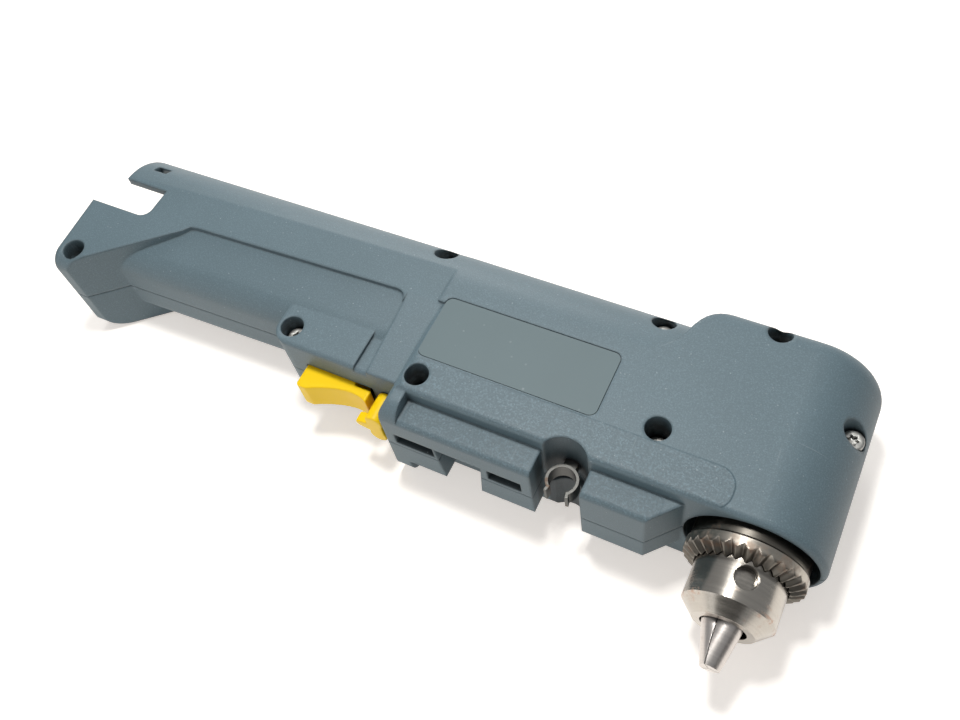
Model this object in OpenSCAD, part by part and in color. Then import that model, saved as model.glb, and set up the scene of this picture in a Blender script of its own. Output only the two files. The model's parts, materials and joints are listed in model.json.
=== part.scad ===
// Cordless right angle drill lying on its side, battery bay open and empty.
// Tool frame: the chuck axis is x = 0, the housing seam is z = 0 and the widest
// circle of the chuck's toothed sleeve is y = 0. The handle runs to -X and the
// chuck points to -Y. placed() sets the whole tool down on its lower side.

/* [Body] */
// Thickness of the body and head over both halves
body_t = 44; // [43.5:0.5:46]
// Distance from the chuck axis to the rear end
rear_reach = 260; // [258:1:268]
// Distance from the sleeve's widest circle to the back of the head
head_back = 71; // [70:0.5:73]
// Distance from the sleeve's widest circle to the head's open face
head_face = 5; // [4:0.5:5.5]
// Height of the rounded spine's centre line
spine_y = 46.5; // [46:0.5:47]
// Length of the body ahead of the handle, from the chuck axis
body_reach = 116.5; // [115.5:0.5:117]
// Visible gap along the seam of the two halves
seam_gap = 0.2; // [0.1:0.05:0.3]

/* [Handle] */
// Thickness of the handle at the spine
handle_t = 42; // [41:0.5:43]
// Step down from the spine to the grip
grip_step = 0.5; // [0.4:0.1:0.8]
// Height of the grip's underside at its front
grip_low = 16.8; // [16:0.1:18]
// Fall of the grip's underside towards the rear, in degrees
grip_tilt = 1.5; // [0.5:0.1:3]
// Slope of the grip's sides, in degrees
grip_slope = 10.4; // [8:0.1:12]
// Radius of the grip's lower edges
grip_r = 9.5; // [8:0.5:11]
// Wall of the battery bay
bay_wall = 3; // [2.5:0.1:3.5]
// Depth of the battery bay
bay_depth = 82; // [78:1:84]
// Width of the latch notch at the rear end
notch_w = 13.2; // [11:0.1:14]
// Depth of the latch notch
notch_depth = 25; // [20:0.5:28]

/* [Head] */
// Radius round the head's back edge
head_edge_r = 8; // [7:0.5:10]
// Radius of the blend from the spine up to the head
blend_r = 18.5; // [16:0.5:20]
// Radius of the opening round the chuck
chuck_opening_r = 20.1; // [19:0.1:20.3]

/* [Key store] */
// Thickness of the key store
store_t = 32.8; // [30:0.2:36]
// Distance the key store stands out below the sleeve's widest circle
store_drop = 4.2; // [3.6:0.1:5]
// Radius of the key recess
recess_r = 8; // [7.5:0.1:8.5]
// Bore of the key clip
clip_bore_r = 4.2; // [3.8:0.1:4.6]
// Thickness of the key clip's strip
clip_strip_t = 1; // [0.8:0.1:1.2]

/* [Trigger and lever] */
// Width of the trigger
trigger_w = 12; // [10:0.5:13]
// Travel of the trigger
trigger_travel = 5; // [4:0.5:5]
// Reach of the trigger's rear end below the trigger wall
trigger_reach = 8.2; // [7:0.1:9]
// Height of the wall that the trigger comes out of
trigger_wall_y = 8.2; // [7.8:0.1:8.6]

/* [Motor] */
// Height of the motor axis
drive_y = 38; // [37.5:0.1:38.2]
// Outer radius of the motor can
motor_r = 17; // [16:0.1:17.2]
// Length of the motor can
motor_len = 46; // [43:0.5:47]
// Wall of the motor can
can_wall = 1.5; // [1.2:0.1:1.8]
// Radius of the motor shaft
shaft_r = 1.6; // [1.5:0.05:1.8]

/* [Gear train] */
// Module of the planetary gears
planet_module = 0.778; // [0.75:0.002:0.79]
// Teeth of the sun pinion
sun_teeth = 12; // [12:12:12]
// Teeth of each planet gear
planet_teeth = 12; // [12:12:12]
// Face width of the planet gears
planet_w = 8; // [6:0.5:8.5]
// Module of the bevel gears at their large end
bevel_module = 1.1; // [1.05:0.01:1.1]
// Teeth of the bevel pinion
pinion_teeth = 10; // [10:1:10]
// Teeth of the crown gear
crown_teeth = 30; // [30:1:30]
// Radius of the pinion shaft
pinion_shaft_r = 4; // [3.5:0.1:4.2]

/* [Spindle] */
// Radius of the spindle in its bearing
spindle_r = 5; // [4.5:0.1:5.2]
// Radius of the spindle in its bush
journal_r = 4; // [3.5:0.1:4.2]
// Outer radius of the spindle bearing
bearing_r = 13; // [12:0.1:13.5]
// Width of the spindle bearing
bearing_w = 8; // [7:0.5:8]

/* [Chuck] */
// Widest radius of the toothed sleeve
sleeve_r = 18; // [17.6:0.1:18.4]
// Radius of the chuck body below the sleeve
chuck_r = 13.6; // [13.2:0.1:13.8]
// Depth of the chuck's nose below the sleeve's widest circle
nose_drop = 18.9; // [18:0.1:20]
// Depth of the jaw tips below the sleeve's widest circle
tip_drop = 31; // [29.5:0.1:32]
// Largest drill shank that the jaws take
chuck_capacity = 10; // [9:0.5:10]
// Lean of the jaws to the chuck axis, in degrees
jaw_lean = 17; // [16.5:0.1:18]
// Radius of each jaw
jaw_r = 4.2; // [4:0.05:4.2]
// Length of each jaw along its own axis
jaw_len = 31; // [30:0.1:31]
// Teeth of the sleeve
sleeve_teeth = 30; // [24:1:36]
// Radius of the key holes
key_hole_r = 3.5; // [3.2:0.05:3.6]

/* [Fasteners] */
// Radius of the screw counterbores
counterbore_r = 4; // [3.8:0.1:4.2]
// Radius of the screw shanks
screw_r = 2; // [1.8:0.1:2.2]
// Radius of the screw heads
screw_head_r = 3.5; // [3:0.1:3.7]
// Height of the screw heads
screw_head_t = 2.6; // [2:0.1:3]

/* [Clearances] */
// Gap at pieces that seat without moving
seat_gap = 0.03; // [0.02:0.01:0.05]
// Radial gap of turning shafts in their bores
running_gap = 0.04; // [0.03:0.01:0.08]
// Gap round pieces that slide or swing
moving_gap = 0.3; // [0.25:0.05:0.4]

/* [Hidden] */
$fn = 64;
overrun = 1;

// Body outline
half_t = body_t / 2;
spine_r = handle_t / 2;
body_edge_r = 2;
body_corner_r = 5;
neck_len = 11.5;
neck_reach = body_reach + neck_len;
body_into_head = 20;
groove_y = 39;
groove_rise = 3;
corner_groove_r = 4;
flare_foot = 4.5;
flare_edge_r = 6;
flare_tip = 5;
flare_lean = 2.5;
flare_run = 37;
flare_rise = 28.5;
groove_bend = 47;
tongue_back = 6.5;
notch_y = spine_y - notch_w;
notch_r = 4;
latch_len = 6;
latch_w = 3;
latch_y = 56;
latch_back = 12;

// Grip
grip_half = spine_r - grip_step;
grip_front_in = 3.5;
grip_front = body_reach + grip_front_in;
grip_pivot = 178;
grip_rear_in = 14;
grip_rear = rear_reach - grip_rear_in;
grip_h = 26;
grip_edge_z = grip_half - (grip_h - grip_r) * tan(grip_slope) - grip_r / cos(grip_slope);
grip_arc_steps = 8;

// Trigger block and neck
block_t = 33;
block_rear_in = 49.1;
block_rear = body_reach + block_rear_in;
block_front_in = 16.5;
block_front = body_reach + block_front_in;
block_top = 27.5;
block_edge_r = 1.5;
block_corner_r = 6;
block_end_r = 4;
block_core_in = 1.2;
neck_low_t = 33.6;

// Battery bay
bay_r = spine_r - bay_wall;
grip_floor = 6.1;
bay_low_y = grip_low + grip_floor;
bay_low_t = 25;
bay_step_y = 38;
bay_front = rear_reach - bay_depth;

// Head outline
hump_x = 20.5;
hump_y = head_back - blend_r;
blend_turn = 16.5;
blend_x = hump_x + (blend_r + blend_r) * cos(blend_turn);
blend_y = hump_y + (blend_r + blend_r) * sin(blend_turn);
arc_steps = 10;

// Key store
store_half = store_t / 2;
store_low = 11;
store_edge_r = 2;
store_in = 8;
rear_box_front = 65;
front_box_rear = 49;
front_box_end = 29;
box_chamfer = 8.5;
rim_t = 42;
rim_w = 6;
rim_r = 7;
recess_x = 57;
recess_y = 1.3;
recess_ledge_z = 3;
recess_ledge_r = 6.2;
clip_low = 3.2;
clip_h = 6.2;
clip_mouth_share = 0.72;
clip_lip_turn = 12;
slot_low = 1.6;
slot_high = 7.2;
slot_inset = 3.5;
rear_slot_len = 14;
front_slot_len = 11.5;
slot_depth = 8;
thumb_gap_inset = 17.9;
thumb_gap_len = 16.6;
thumb_taper = 3;
rear_slot_end = body_reach - slot_inset;
front_slot_end = rear_box_front + slot_inset + front_slot_len;
thumb_gap_end = body_reach - thumb_gap_inset;

// Name plate
plate_len = 60.2;
plate_h = 23.1;
plate_rear = 113.7;
plate_low = 18.4;
plate_t = 0.6;
plate_corner_r = 2.5;
plate_proud = 0.1;
plate_gap = 0.25;

// Housing screws
flare_screw_in = 8;
edge_screw_up = 6.5;
block_screw_in = 5.2;
spine_screw_up = 13.5;
neck_screw_in = 3;
body_screw_in = 6.6;
bend_screw_x = 47;
pinion_screw_x = 35;
pinion_screw_up = 16.9;
hump_screw_in = 7.9;
hump_screw_down = 4.3;
end_screw_in = 5.5;
end_screw_down = 25.5;
screw_places = [
    [flare_screw_in - rear_reach, head_face + edge_screw_up],
    [block_screw_in - block_rear, trigger_wall_y + edge_screw_up],
    [neck_screw_in - neck_reach, spine_y + spine_screw_up],
    [body_screw_in - body_reach, head_face + edge_screw_up],
    [-bend_screw_x, spine_y + spine_screw_up],
    [-pinion_screw_x, head_face + pinion_screw_up],
    [hump_screw_in - hump_x, head_back - hump_screw_down],
    [half_t - end_screw_in, head_back - end_screw_down]
];
screw_seat_z = 8;
screw_end_z = 11;
socket_r = 1.6;
socket_depth = 1.5;

// Trigger
trigger_half = trigger_w / 2;
trigger_rear_in = 37.1;
trigger_rear = body_reach + trigger_rear_in;
trigger_front_in = 18;
trigger_front = body_reach + trigger_front_in;
trigger_tip_in = 11.7;
trigger_tip = body_reach + trigger_tip_in;
trigger_tip_y = 3.1;
trigger_tip_gap = 0.8;
trigger_waist = 7.3;
trigger_waist_y = 6.9;
trigger_bend_in = 33.5;
trigger_bend = body_reach + trigger_bend_in;
trigger_foot_y = trigger_wall_y - trigger_reach;
trigger_shelf_y = 17;
trigger_lip = 1.3;
trigger_lip_t = 1.8;
trigger_wall_t = 2.8;
trigger_in_y = trigger_wall_y + trigger_wall_t;
trigger_edge_r = 1;
stem_in = 25.5;
stem_x = body_reach + stem_in;
stem_r = 3;
stem_len = 8;

// Switch
switch_rear_in = 33;
switch_rear = body_reach + switch_rear_in;
switch_front_in = 9.5;
switch_front = body_reach + switch_front_in;
switch_room = 0.8;
switch_low = trigger_shelf_y + trigger_travel + switch_room;
switch_top = 45;
switch_half = 9;
stem_bore_len = stem_len + trigger_travel;
switch_rib_t = 1;
switch_rib_pitch = 4.5;
switch_ribs = 5;

// Reversing lever
lever_in = 5.9;
lever_x = body_reach + lever_in;
lever_waist = 2.6;
lever_nose_h = 3.8;
lever_shaft_r = 2.5;
lever_out = 10.5;
lever_half_len = 7.5;
lever_lobe_r = 3.2;
lever_nose = 7.8;
lever_nose_r = 1.8;
lever_nose_turn = 20;
lever_shaft_len = 8;
lever_flange_r = 4.5;
lever_flange_t = 2;

// Contacts and leads
contact_t = 5;
contact_x = bay_front - contact_t;
contact_low = 26;
contact_high = 44;
contact_half = 9;
blade_len = 8;
blade_t = 0.8;
blade_w = 6;
blade_root = 3;
lead_r = 1.2;
lead_low_y = 31;
lead_high_y = 39;
lead_ys = [lead_low_y, lead_high_y];

// Motor
motor_rear = 112;
motor_front = motor_rear - motor_len;
cap_t = 5;
cap_inset = 1;
motor_boss_r = 5;
motor_boss_len = 3;
cap_spigot = 2;
magnet_in = 8;
magnet_rear = motor_rear - magnet_in;
magnet_t = 2.2;
magnet_room = 14;
magnet_len = motor_len - magnet_room;
magnet_gap = 12;
brush_gap = 0.1;
brush_w = 4;
brush_len = 4.5;
brush_end = 12;
core_r = 12.6;
core_room = 20;
core_len = motor_len - core_room;
core_in = 10;
core_rear = motor_rear - core_in;
core_slots = 5;
core_slot_w = 2.2;
core_slot_depth = 7;
winding_t = 2.6;
winding_r = 10.5;
winding_bore_r = 3.5;
commutator_r = 5;
commutator_len = 5;
commutator_in = 2.2;
commutator_rear = motor_rear - commutator_in;
commutator_slit = 0.5;
fan_in = 6.6;
fan_rear = motor_front + fan_in;
fan_r = 12.5;
fan_t = 1.2;
fan_h = 4.4;
fan_blades = 9;
fan_hub_r = 4;
shaft_tail = 4;
sun_out = 2.5;
shaft_in = 0.4;

// Planetary stage
ring_teeth = sun_teeth + planet_teeth + planet_teeth;
sun_pitch_r = sun_teeth * planet_module / 2;
planet_pitch_r = planet_teeth * planet_module / 2;
ring_pitch_r = ring_teeth * planet_module / 2;
planet_orbit = sun_pitch_r + planet_pitch_r;
addendum_share = 0.65;
dedendum_share = 1.1;
spur_tooth_share = 0.36;
bevel_tooth_share = 0.32;
flank_share = 0.38;
ring_rear = 60;
ring_w = 14;
ring_wall = 1.15;
ring_outer_r = ring_pitch_r + dedendum_share * planet_module + ring_wall;
ring_lug_w = 4;
ring_lug_t = 1.5;
planet_count = 3;
planet_pin_r = 1.5;
planet_rear = 58;
carrier_r = 12;
carrier_t = 4;
carrier_hub_r = 6;
carrier_hub_len = 4;
sun_rear = planet_rear + sun_out;
shaft_front = planet_rear - planet_w + shaft_in;
carrier_rear = planet_rear - planet_w - moving_gap;
carrier_front = carrier_rear - carrier_t;

// Bevel stage
crown_pitch_r = crown_teeth * bevel_module / 2;
pinion_pitch_r = pinion_teeth * bevel_module / 2;
bevel_share = 0.66;
bevel_add = addendum_share * bevel_module;
bevel_ded = dedendum_share * bevel_module;
bevel_thick = bevel_tooth_share * PI * bevel_module;
tooth_sink = 0.3;
bevel_foot_half = bevel_thick / 2 + (bevel_ded + tooth_sink) * flank_share;
bevel_crest_half = bevel_thick / 2 - bevel_add * flank_share;
crown_gap = 0.4;
crown_hub_r = 8;
crown_top_y = 35;
shield_depth = 0.4;
crown_rim = 0.8;
pinion_hub_r = 4.6;
pinion_hub_len = 12;
pinion_bearing_rear = 38;
pinion_bearing_w = 6;
pinion_bearing_r = 9.5;
pinion_room = 1;

// Spindle
chuck_back = 16;
spindle_nose_r = 5.5;
spindle_nose_end = 8;
collar_r = 7.5;
collar_t = 1.5;
collar_gap = 0.1;
bearing_gap = 2;
bearing_y = chuck_back + bearing_gap;
crown_back_y = bearing_y + bearing_w + crown_gap;
journal_from = 37;
bush_y = 52;
bush_len = 9;
bush_wall = 3.5;
spindle_end = 62;
clip_ring_t = 1;
clip_ring_w = 1.6;
clip_ring_gap = 3;
clip_ring_depth = 0.4;

// Chuck
chuck_room = 1.4;
nose_start = 14.7;
nose_rim_r = 9.2;
mouth_gap = 0.5;
mouth_depth = 9.6;
shank_r = 5.2;
nut_y = -1.3;
nut_t = 5.3;
nut_r = 15.2;
nut_room = 0.3;
sleeve_bore_r = chuck_r + moving_gap;
sleeve_rim = 1.4;
sleeve_groove_top = 0.4;
sleeve_web = 0.6;
sleeve_root_half = 0.35;
sleeve_flank_share = 0.36;
flange_r = 16;
sleeve_foot = 3.5;
sleeve_foot_r = 14.6;
sleeve_band = 2;
sleeve_band_in = 0.6;
sleeve_room_r = 16.8;
sleeve_top = 14.5;
sleeve_top_in = 0.5;
key_hole_y = -7.4;
key_hole_depth = 3;
key_hole_turn = 37;
jaw_tip_r = 2.6;
jaw_gap = 0.12;
groove_sink = 1;
groove_r = jaw_tip_r + (nut_y + tip_drop) * tan(jaw_lean) - groove_sink;
jaw_offset = jaw_r / cos(jaw_lean) - jaw_tip_r;
jaw_travel = chuck_capacity / 2 / sin(jaw_lean);
jaw_count = 3;
jaw_turn = 65;
chuck_screw_head_r = 4;
chuck_screw_head_t = 2.4;
chuck_screw_r = 2;
chuck_screw_len = 9;

// Colours
grey = [0.36, 0.42, 0.45];
yellow = [0.95, 0.72, 0.05];
steel = [0.62, 0.60, 0.56];
dark_steel = [0.36, 0.36, 0.37];
copper = [0.72, 0.42, 0.22];
brass = [0.78, 0.62, 0.32];
black = [0.10, 0.10, 0.11];

// Points of a round stretch from angle a to angle b
function arc(c, r, a, b, steps) =
    [for (i = [0:steps]) c + r * [cos(a + (b - a) * i / steps), sin(a + (b - a) * i / steps)]];

// The same outline on both sides of the seam
function both_sides(points) =
    concat(points, [for (i = [len(points) - 1:-1:0]) [points[i][0], -points[i][1]]]);

function turned(p, a) = [p[0] * cos(a) - p[1] * sin(a), p[0] * sin(a) + p[1] * cos(a)];

// Outline of a gear with straight-flanked teeth; side is 1 for outer teeth and -1 for inner teeth
function gear_outline(teeth, pitch_r, m, side) =
    let (
        foot = pitch_r - side * dedendum_share * m,
        crest = pitch_r + side * addendum_share * m,
        half = spur_tooth_share * PI * m / 2,
        foot_half = half + dedendum_share * m * flank_share,
        crest_half = half - addendum_share * m * flank_share
    )
    [for (i = [0:teeth - 1])
        for (p = [[foot, -foot_half], [crest, -crest_half], [crest, crest_half], [foot, foot_half]])
            turned(p, 360 * i / teeth)];

module along_x(from, to)
    translate([from, 0, 0]) rotate([90, 0, 90]) linear_extrude(to - from) children();

module along_y(from, to)
    translate([0, to, 0]) rotate([90, 0, 0]) linear_extrude(to - from) children();

module along_z(from, to)
    translate([0, 0, from]) linear_extrude(to - from) children();

module spun_x() rotate([90, 0, 90]) rotate_extrude() children();

module spun_y() rotate([-90, 0, 0]) rotate_extrude() children();

module rod_x(from, to, r, y = drive_y, z = 0)
    translate([from, y, z]) rotate([0, 90, 0]) cylinder(h = to - from, r = r);

module rod_y(from, to, r, x = 0, z = 0)
    translate([x, from, z]) rotate([-90, 0, 0]) cylinder(h = to - from, r = r);

module rod_z(from, to, r, x, y)
    translate([x, y, from]) cylinder(h = to - from, r = r);

module block(low, high) translate(low) cube(high - low);

// Section across the tool: straight sides, rounded lower edges
module low_rounded(low, high, half, r) {
    translate([low + r, -half]) square([high - low - r, half + half]);
    translate([low, r - half]) square([high - low, half + half - r - r]);
    for (side = [-1, 1])
        translate([low + r, side * (half - r)]) circle(r);
}

// Section of the spine: half round back over straight sides
module spine_section(r, low, low_r) {
    translate([spine_y, 0]) circle(r);
    low_rounded(low, spine_y, r, low_r);
}

// Sets the finished tool down on its lower side, centred on its box
module placed()
    translate([(rear_reach - half_t) / 2, (tip_drop - head_back) / 2, half_t]) children();

// Outline of the spine and of the flared rear base, seen from the side
module handle_outline()
    polygon(concat(
        [[flare_lean - rear_reach, flare_foot],
        [-rear_reach, notch_y],
        [tongue_back - rear_reach, spine_y],
        [tongue_back - rear_reach, head_back],
        [-body_reach + rim_w, head_back],
        [-body_reach + rim_w, groove_y],
        [-neck_reach, groove_y],
        [-neck_reach, groove_y - corner_groove_r]],
        arc([-neck_reach - corner_groove_r, groove_y - corner_groove_r], corner_groove_r, 0, 90, arc_steps),
        [[groove_bend - rear_reach, groove_y - groove_rise],
        [groove_bend - groove_rise - rear_reach, groove_y - groove_rise - grip_step],
        [flare_tip + flare_run - rear_reach, flare_foot + flare_rise],
        [flare_tip + flare_lean - rear_reach, flare_foot]]
    ));

module handle_form()
    intersection() {
        along_z(-spine_r, spine_r) handle_outline();
        union() {
            translate([-rear_reach - overrun, spine_y, 0])
                rotate([0, 90, 0])
                    cylinder(h = rear_reach + overrun - body_reach, r1 = spine_r, r2 = half_t);
            along_x(-rear_reach - overrun, -body_reach + rim_w)
                low_rounded(flare_foot, spine_y, spine_r, flare_edge_r);
        }
    }

module grip_form()
    translate([-grip_pivot, grip_low, 0])
        rotate([0, 0, grip_tilt])
            along_x(grip_pivot - grip_rear, grip_pivot - grip_front)
                polygon(both_sides(concat(
                    [[grip_h, grip_half]],
                    arc([grip_r, grip_edge_z], grip_r, 90 + grip_slope, 180, grip_arc_steps)
                )));

// Panel round the trigger, on a core that carries on to the neck
module block_form() {
    intersection() {
        along_z(-half_t, half_t)
            polygon(concat(
                arc([block_corner_r - block_rear, trigger_wall_y + block_corner_r], block_corner_r, 180, 270,
                    arc_steps),
                [[-block_front, trigger_wall_y]],
                arc([-block_front - block_end_r, block_top - block_end_r], block_end_r, 0, 90, arc_steps),
                arc([block_corner_r - block_rear, block_top - block_corner_r], block_corner_r, 90, 180,
                    arc_steps)
            ));
        along_x(-block_rear - overrun, -block_front)
            low_rounded(trigger_wall_y, block_top, block_t / 2, block_edge_r);
    }
    along_x(-block_front - block_end_r, -body_reach + rim_w)
        low_rounded(trigger_wall_y, block_top, block_t / 2 - block_core_in, block_edge_r);
}

module neck_form()
    along_x(-neck_reach, -body_reach + rim_w)
        polygon(both_sides([[groove_y + groove_rise, spine_r], [groove_y, spine_r],
            [trigger_wall_y, neck_low_t / 2]]));

// Body with the rim of the key store, its rear corners rounded in plan below the groove
module body_form()
    intersection() {
        union() {
            along_x(-body_reach, -body_into_head) spine_section(half_t, head_face, body_edge_r);
            along_x(-body_reach, -body_reach + rim_w)
                low_rounded(-store_drop, store_in, rim_t / 2, rim_r);
        }
        union() {
            along_y(-store_drop - overrun, groove_y + overrun)
                polygon(both_sides(concat(
                    [[-body_into_head, half_t]],
                    arc([body_corner_r - body_reach, half_t - body_corner_r], body_corner_r, 90, 180,
                        arc_steps)
                )));
            block([-body_reach - overrun, groove_y, -half_t - overrun],
                [overrun - body_into_head, head_back, half_t + overrun]);
        }
    }

// Outline of the head with its blend from the spine, seen from the side
module head_outline()
    polygon(concat(
        [[-blend_x, head_face], [half_t + overrun, head_face], [half_t + overrun, head_back]],
        arc([-hump_x, hump_y], blend_r, 90, 180 - blend_turn, arc_steps),
        arc([-blend_x, blend_y], blend_r, -blend_turn, -90, arc_steps)
    ));

// Half section of the head: distance from the chuck axis against height
module head_half() {
    translate([0, head_face + body_edge_r])
        square([half_t, head_back - head_face - body_edge_r - head_edge_r]);
    translate([0, head_face]) square([half_t - body_edge_r, body_edge_r + body_edge_r]);
    translate([half_t - body_edge_r, head_face + body_edge_r]) circle(body_edge_r);
    translate([0, head_back - head_edge_r - head_edge_r])
        square([half_t - head_edge_r, head_edge_r + head_edge_r]);
    translate([half_t - head_edge_r, head_back - head_edge_r]) circle(head_edge_r);
}

module head_form()
    intersection() {
        along_z(-half_t, half_t) head_outline();
        union() {
            intersection() {
                spun_y() head_half();
                block([0, 0, -half_t], [half_t + overrun, head_back + overrun, half_t]);
            }
            along_x(-blend_x, 0)
                for (side = [0, 1])
                    mirror([0, side]) mirror([1, -1]) head_half();
        }
    }

module store_box(outline)
    intersection() {
        along_z(-store_low, half_t) polygon(outline);
        along_x(-body_reach - overrun, 0)
            low_rounded(-store_drop, store_in, store_half, store_edge_r);
    }

module store_form() {
    store_box([
        [-body_reach, -store_drop], [-rear_box_front, -store_drop],
        [-rear_box_front, store_in], [-body_reach, store_in]
    ]);
    store_box([
        [-front_box_rear, -store_drop], [-front_box_end, -store_drop],
        [box_chamfer - front_box_end, head_face], [box_chamfer - front_box_end, store_in],
        [-front_box_rear, store_in]
    ]);
}

module housing_form() {
    handle_form();
    grip_form();
    block_form();
    neck_form();
    body_form();
    head_form();
    store_form();
}

module battery_bay() {
    along_x(-rear_reach - overrun, -bay_front) {
        translate([spine_y, 0]) circle(bay_r);
        translate([bay_step_y, -bay_r]) square([spine_y - bay_step_y, bay_r + bay_r]);
        translate([bay_low_y, -bay_low_t / 2]) square([bay_step_y - bay_low_y + overrun, bay_low_t]);
    }
    along_z(-half_t - overrun, half_t + overrun) {
        translate([-rear_reach - overrun, notch_y])
            square([notch_depth + overrun - notch_r, notch_w]);
        translate([-rear_reach, notch_y + notch_r]) square([notch_depth, notch_w - notch_r]);
        translate([notch_depth - notch_r - rear_reach, notch_y + notch_r]) circle(notch_r);
    }
    for (side = [0, 1])
        mirror([0, 0, side])
            translate([latch_back - rear_reach, latch_y - latch_w / 2, 0])
                cube([latch_len, latch_w, half_t]);
}

module drive_pockets() {
    rod_x(-motor_rear - cap_t - seat_gap, -motor_front + seat_gap, motor_r + seat_gap);
    rod_x(-motor_front, -ring_rear + overrun, motor_boss_r + moving_gap + moving_gap);
    rod_x(-ring_rear - seat_gap, -ring_rear + ring_w + moving_gap, ring_outer_r + seat_gap);
    for (side = [-1, 1])
        block([-ring_rear - seat_gap, drive_y + side * ring_outer_r - ring_lug_t - seat_gap,
                -ring_lug_w / 2 - seat_gap],
            [-ring_rear + ring_w + seat_gap, drive_y + side * ring_outer_r + ring_lug_t + seat_gap,
                ring_lug_w / 2 + seat_gap]);
    rod_x(-ring_rear + ring_w, -pinion_bearing_rear, carrier_hub_r + pinion_room);
    rod_x(-pinion_bearing_rear - seat_gap, -pinion_bearing_rear + pinion_bearing_w + seat_gap,
        pinion_bearing_r + seat_gap);
    rod_x(-pinion_bearing_rear, -crown_pitch_r * bevel_share + pinion_room,
        pinion_pitch_r + bevel_add + pinion_room);
}

module spindle_pockets() {
    rod_y(-overrun, chuck_back + chuck_room, chuck_opening_r);
    rod_y(chuck_back, bearing_y + overrun, collar_r + pinion_room);
    rod_y(bearing_y - seat_gap, bearing_y + bearing_w + seat_gap, bearing_r + seat_gap);
    rod_y(bearing_y + bearing_w, journal_from, crown_pitch_r + crown_rim + pinion_room);
    rod_y(journal_from - overrun, bush_y + overrun, spindle_r + pinion_room);
    rod_y(bush_y - seat_gap, bush_y + bush_len + seat_gap, journal_r + bush_wall + seat_gap);
    rod_y(bush_y, spindle_end + pinion_room, journal_r + pinion_room);
}

module control_pockets() {
    block([-trigger_rear - moving_gap, trigger_wall_y - overrun, -trigger_half - moving_gap],
        [-trigger_tip + moving_gap, trigger_wall_y + trigger_travel + moving_gap,
            trigger_half + moving_gap]);
    block([-trigger_rear - moving_gap, trigger_in_y, -trigger_half - trigger_lip - moving_gap],
        [-trigger_front + moving_gap, switch_low, trigger_half + trigger_lip + moving_gap]);
    block([-switch_rear - seat_gap, switch_low - seat_gap, -switch_half - seat_gap],
        [-switch_front + seat_gap, switch_top + seat_gap, switch_half + seat_gap]);
    rod_y(trigger_wall_y - overrun, trigger_wall_y + lever_shaft_len, lever_shaft_r + running_gap,
        -lever_x);
    rod_y(trigger_wall_y + lever_shaft_len - lever_flange_t - moving_gap,
        trigger_wall_y + lever_shaft_len + moving_gap, lever_flange_r + moving_gap, -lever_x);
    block([-bay_front - overrun, contact_low - seat_gap, -contact_half - seat_gap],
        [-contact_x + seat_gap, contact_high + seat_gap, contact_half + seat_gap]);
    for (y = lead_ys)
        rod_x(-contact_x, -motor_rear, lead_r + seat_gap, y);
}

module store_pockets() {
    rod_z(-recess_ledge_z, half_t + overrun, recess_r, -recess_x, recess_y);
    block([-recess_x - recess_r + seat_gap, -store_drop - overrun, -recess_ledge_z],
        [-recess_x + recess_r - seat_gap, recess_y, half_t + overrun]);
    rod_z(-half_t - overrun, 0, recess_ledge_r, -recess_x, recess_y);
    block([-recess_x - recess_ledge_r + seat_gap, -store_drop - overrun, -half_t - overrun],
        [-recess_x + recess_ledge_r - seat_gap, recess_y, 0]);
    block([-rear_slot_end, -store_drop - overrun, slot_low],
        [rear_slot_len - rear_slot_end, slot_depth - store_drop, slot_high]);
    block([-front_slot_end, -store_drop - overrun, slot_low],
        [front_slot_len - front_slot_end, slot_depth - store_drop, slot_high]);
    along_y(-store_drop - overrun, slot_depth - store_drop)
        translate([-thumb_gap_end, 0])
            polygon([
                [0, slot_high], [thumb_gap_len, slot_high],
                [thumb_gap_len - thumb_taper, -half_t], [thumb_taper, -half_t]
            ]);
    clip_tab(seat_gap);
}

module screw_holes() {
    for (place = screw_places) {
        rod_z(screw_seat_z, half_t + overrun, counterbore_r, place[0], place[1]);
        rod_z(-screw_end_z - overrun, screw_seat_z + overrun, screw_r + seat_gap, place[0], place[1]);
    }
}

module plate_outline(gap)
    offset_plate(plate_len + gap + gap, plate_h + gap + gap, plate_corner_r + gap);

// Rounded plate centred on the name plate's place
module offset_plate(len, h, r)
    translate([plate_len / 2 - plate_rear, plate_low + plate_h / 2]) {
        square([len - r - r, h], center = true);
        square([len, h - r - r], center = true);
        for (i = [-1, 1])
            for (j = [-1, 1])
                translate([i * (len / 2 - r), j * (h / 2 - r)]) circle(r);
    }

module hollow_housing()
    difference() {
        housing_form();
        battery_bay();
        drive_pockets();
        spindle_pockets();
        control_pockets();
        store_pockets();
        screw_holes();
    }

module upper_housing()
    color(grey)
        difference() {
            intersection() {
                hollow_housing();
                block([-rear_reach - overrun, -tip_drop, seam_gap / 2],
                    [half_t + overrun, head_back + overrun, half_t]);
            }
            along_z(half_t - plate_t, half_t + overrun) plate_outline(plate_gap);
        }

module lower_housing()
    color(grey)
        intersection() {
            hollow_housing();
            block([-rear_reach - overrun, -tip_drop, -half_t],
                [half_t + overrun, head_back + overrun, -seam_gap / 2]);
        }

module housing_screws()
    color(dark_steel)
        for (place = screw_places)
            difference() {
                union() {
                    rod_z(screw_seat_z, screw_seat_z + screw_head_t, screw_head_r, place[0], place[1]);
                    rod_z(-screw_end_z, screw_seat_z + seat_gap, screw_r, place[0], place[1]);
                }
                rod_z(screw_seat_z + screw_head_t - socket_depth, screw_seat_z + screw_head_t + overrun,
                    socket_r, place[0], place[1]);
            }

module name_plate()
    color(black)
        along_z(half_t - plate_t, half_t - plate_proud) plate_outline(0);

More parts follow.
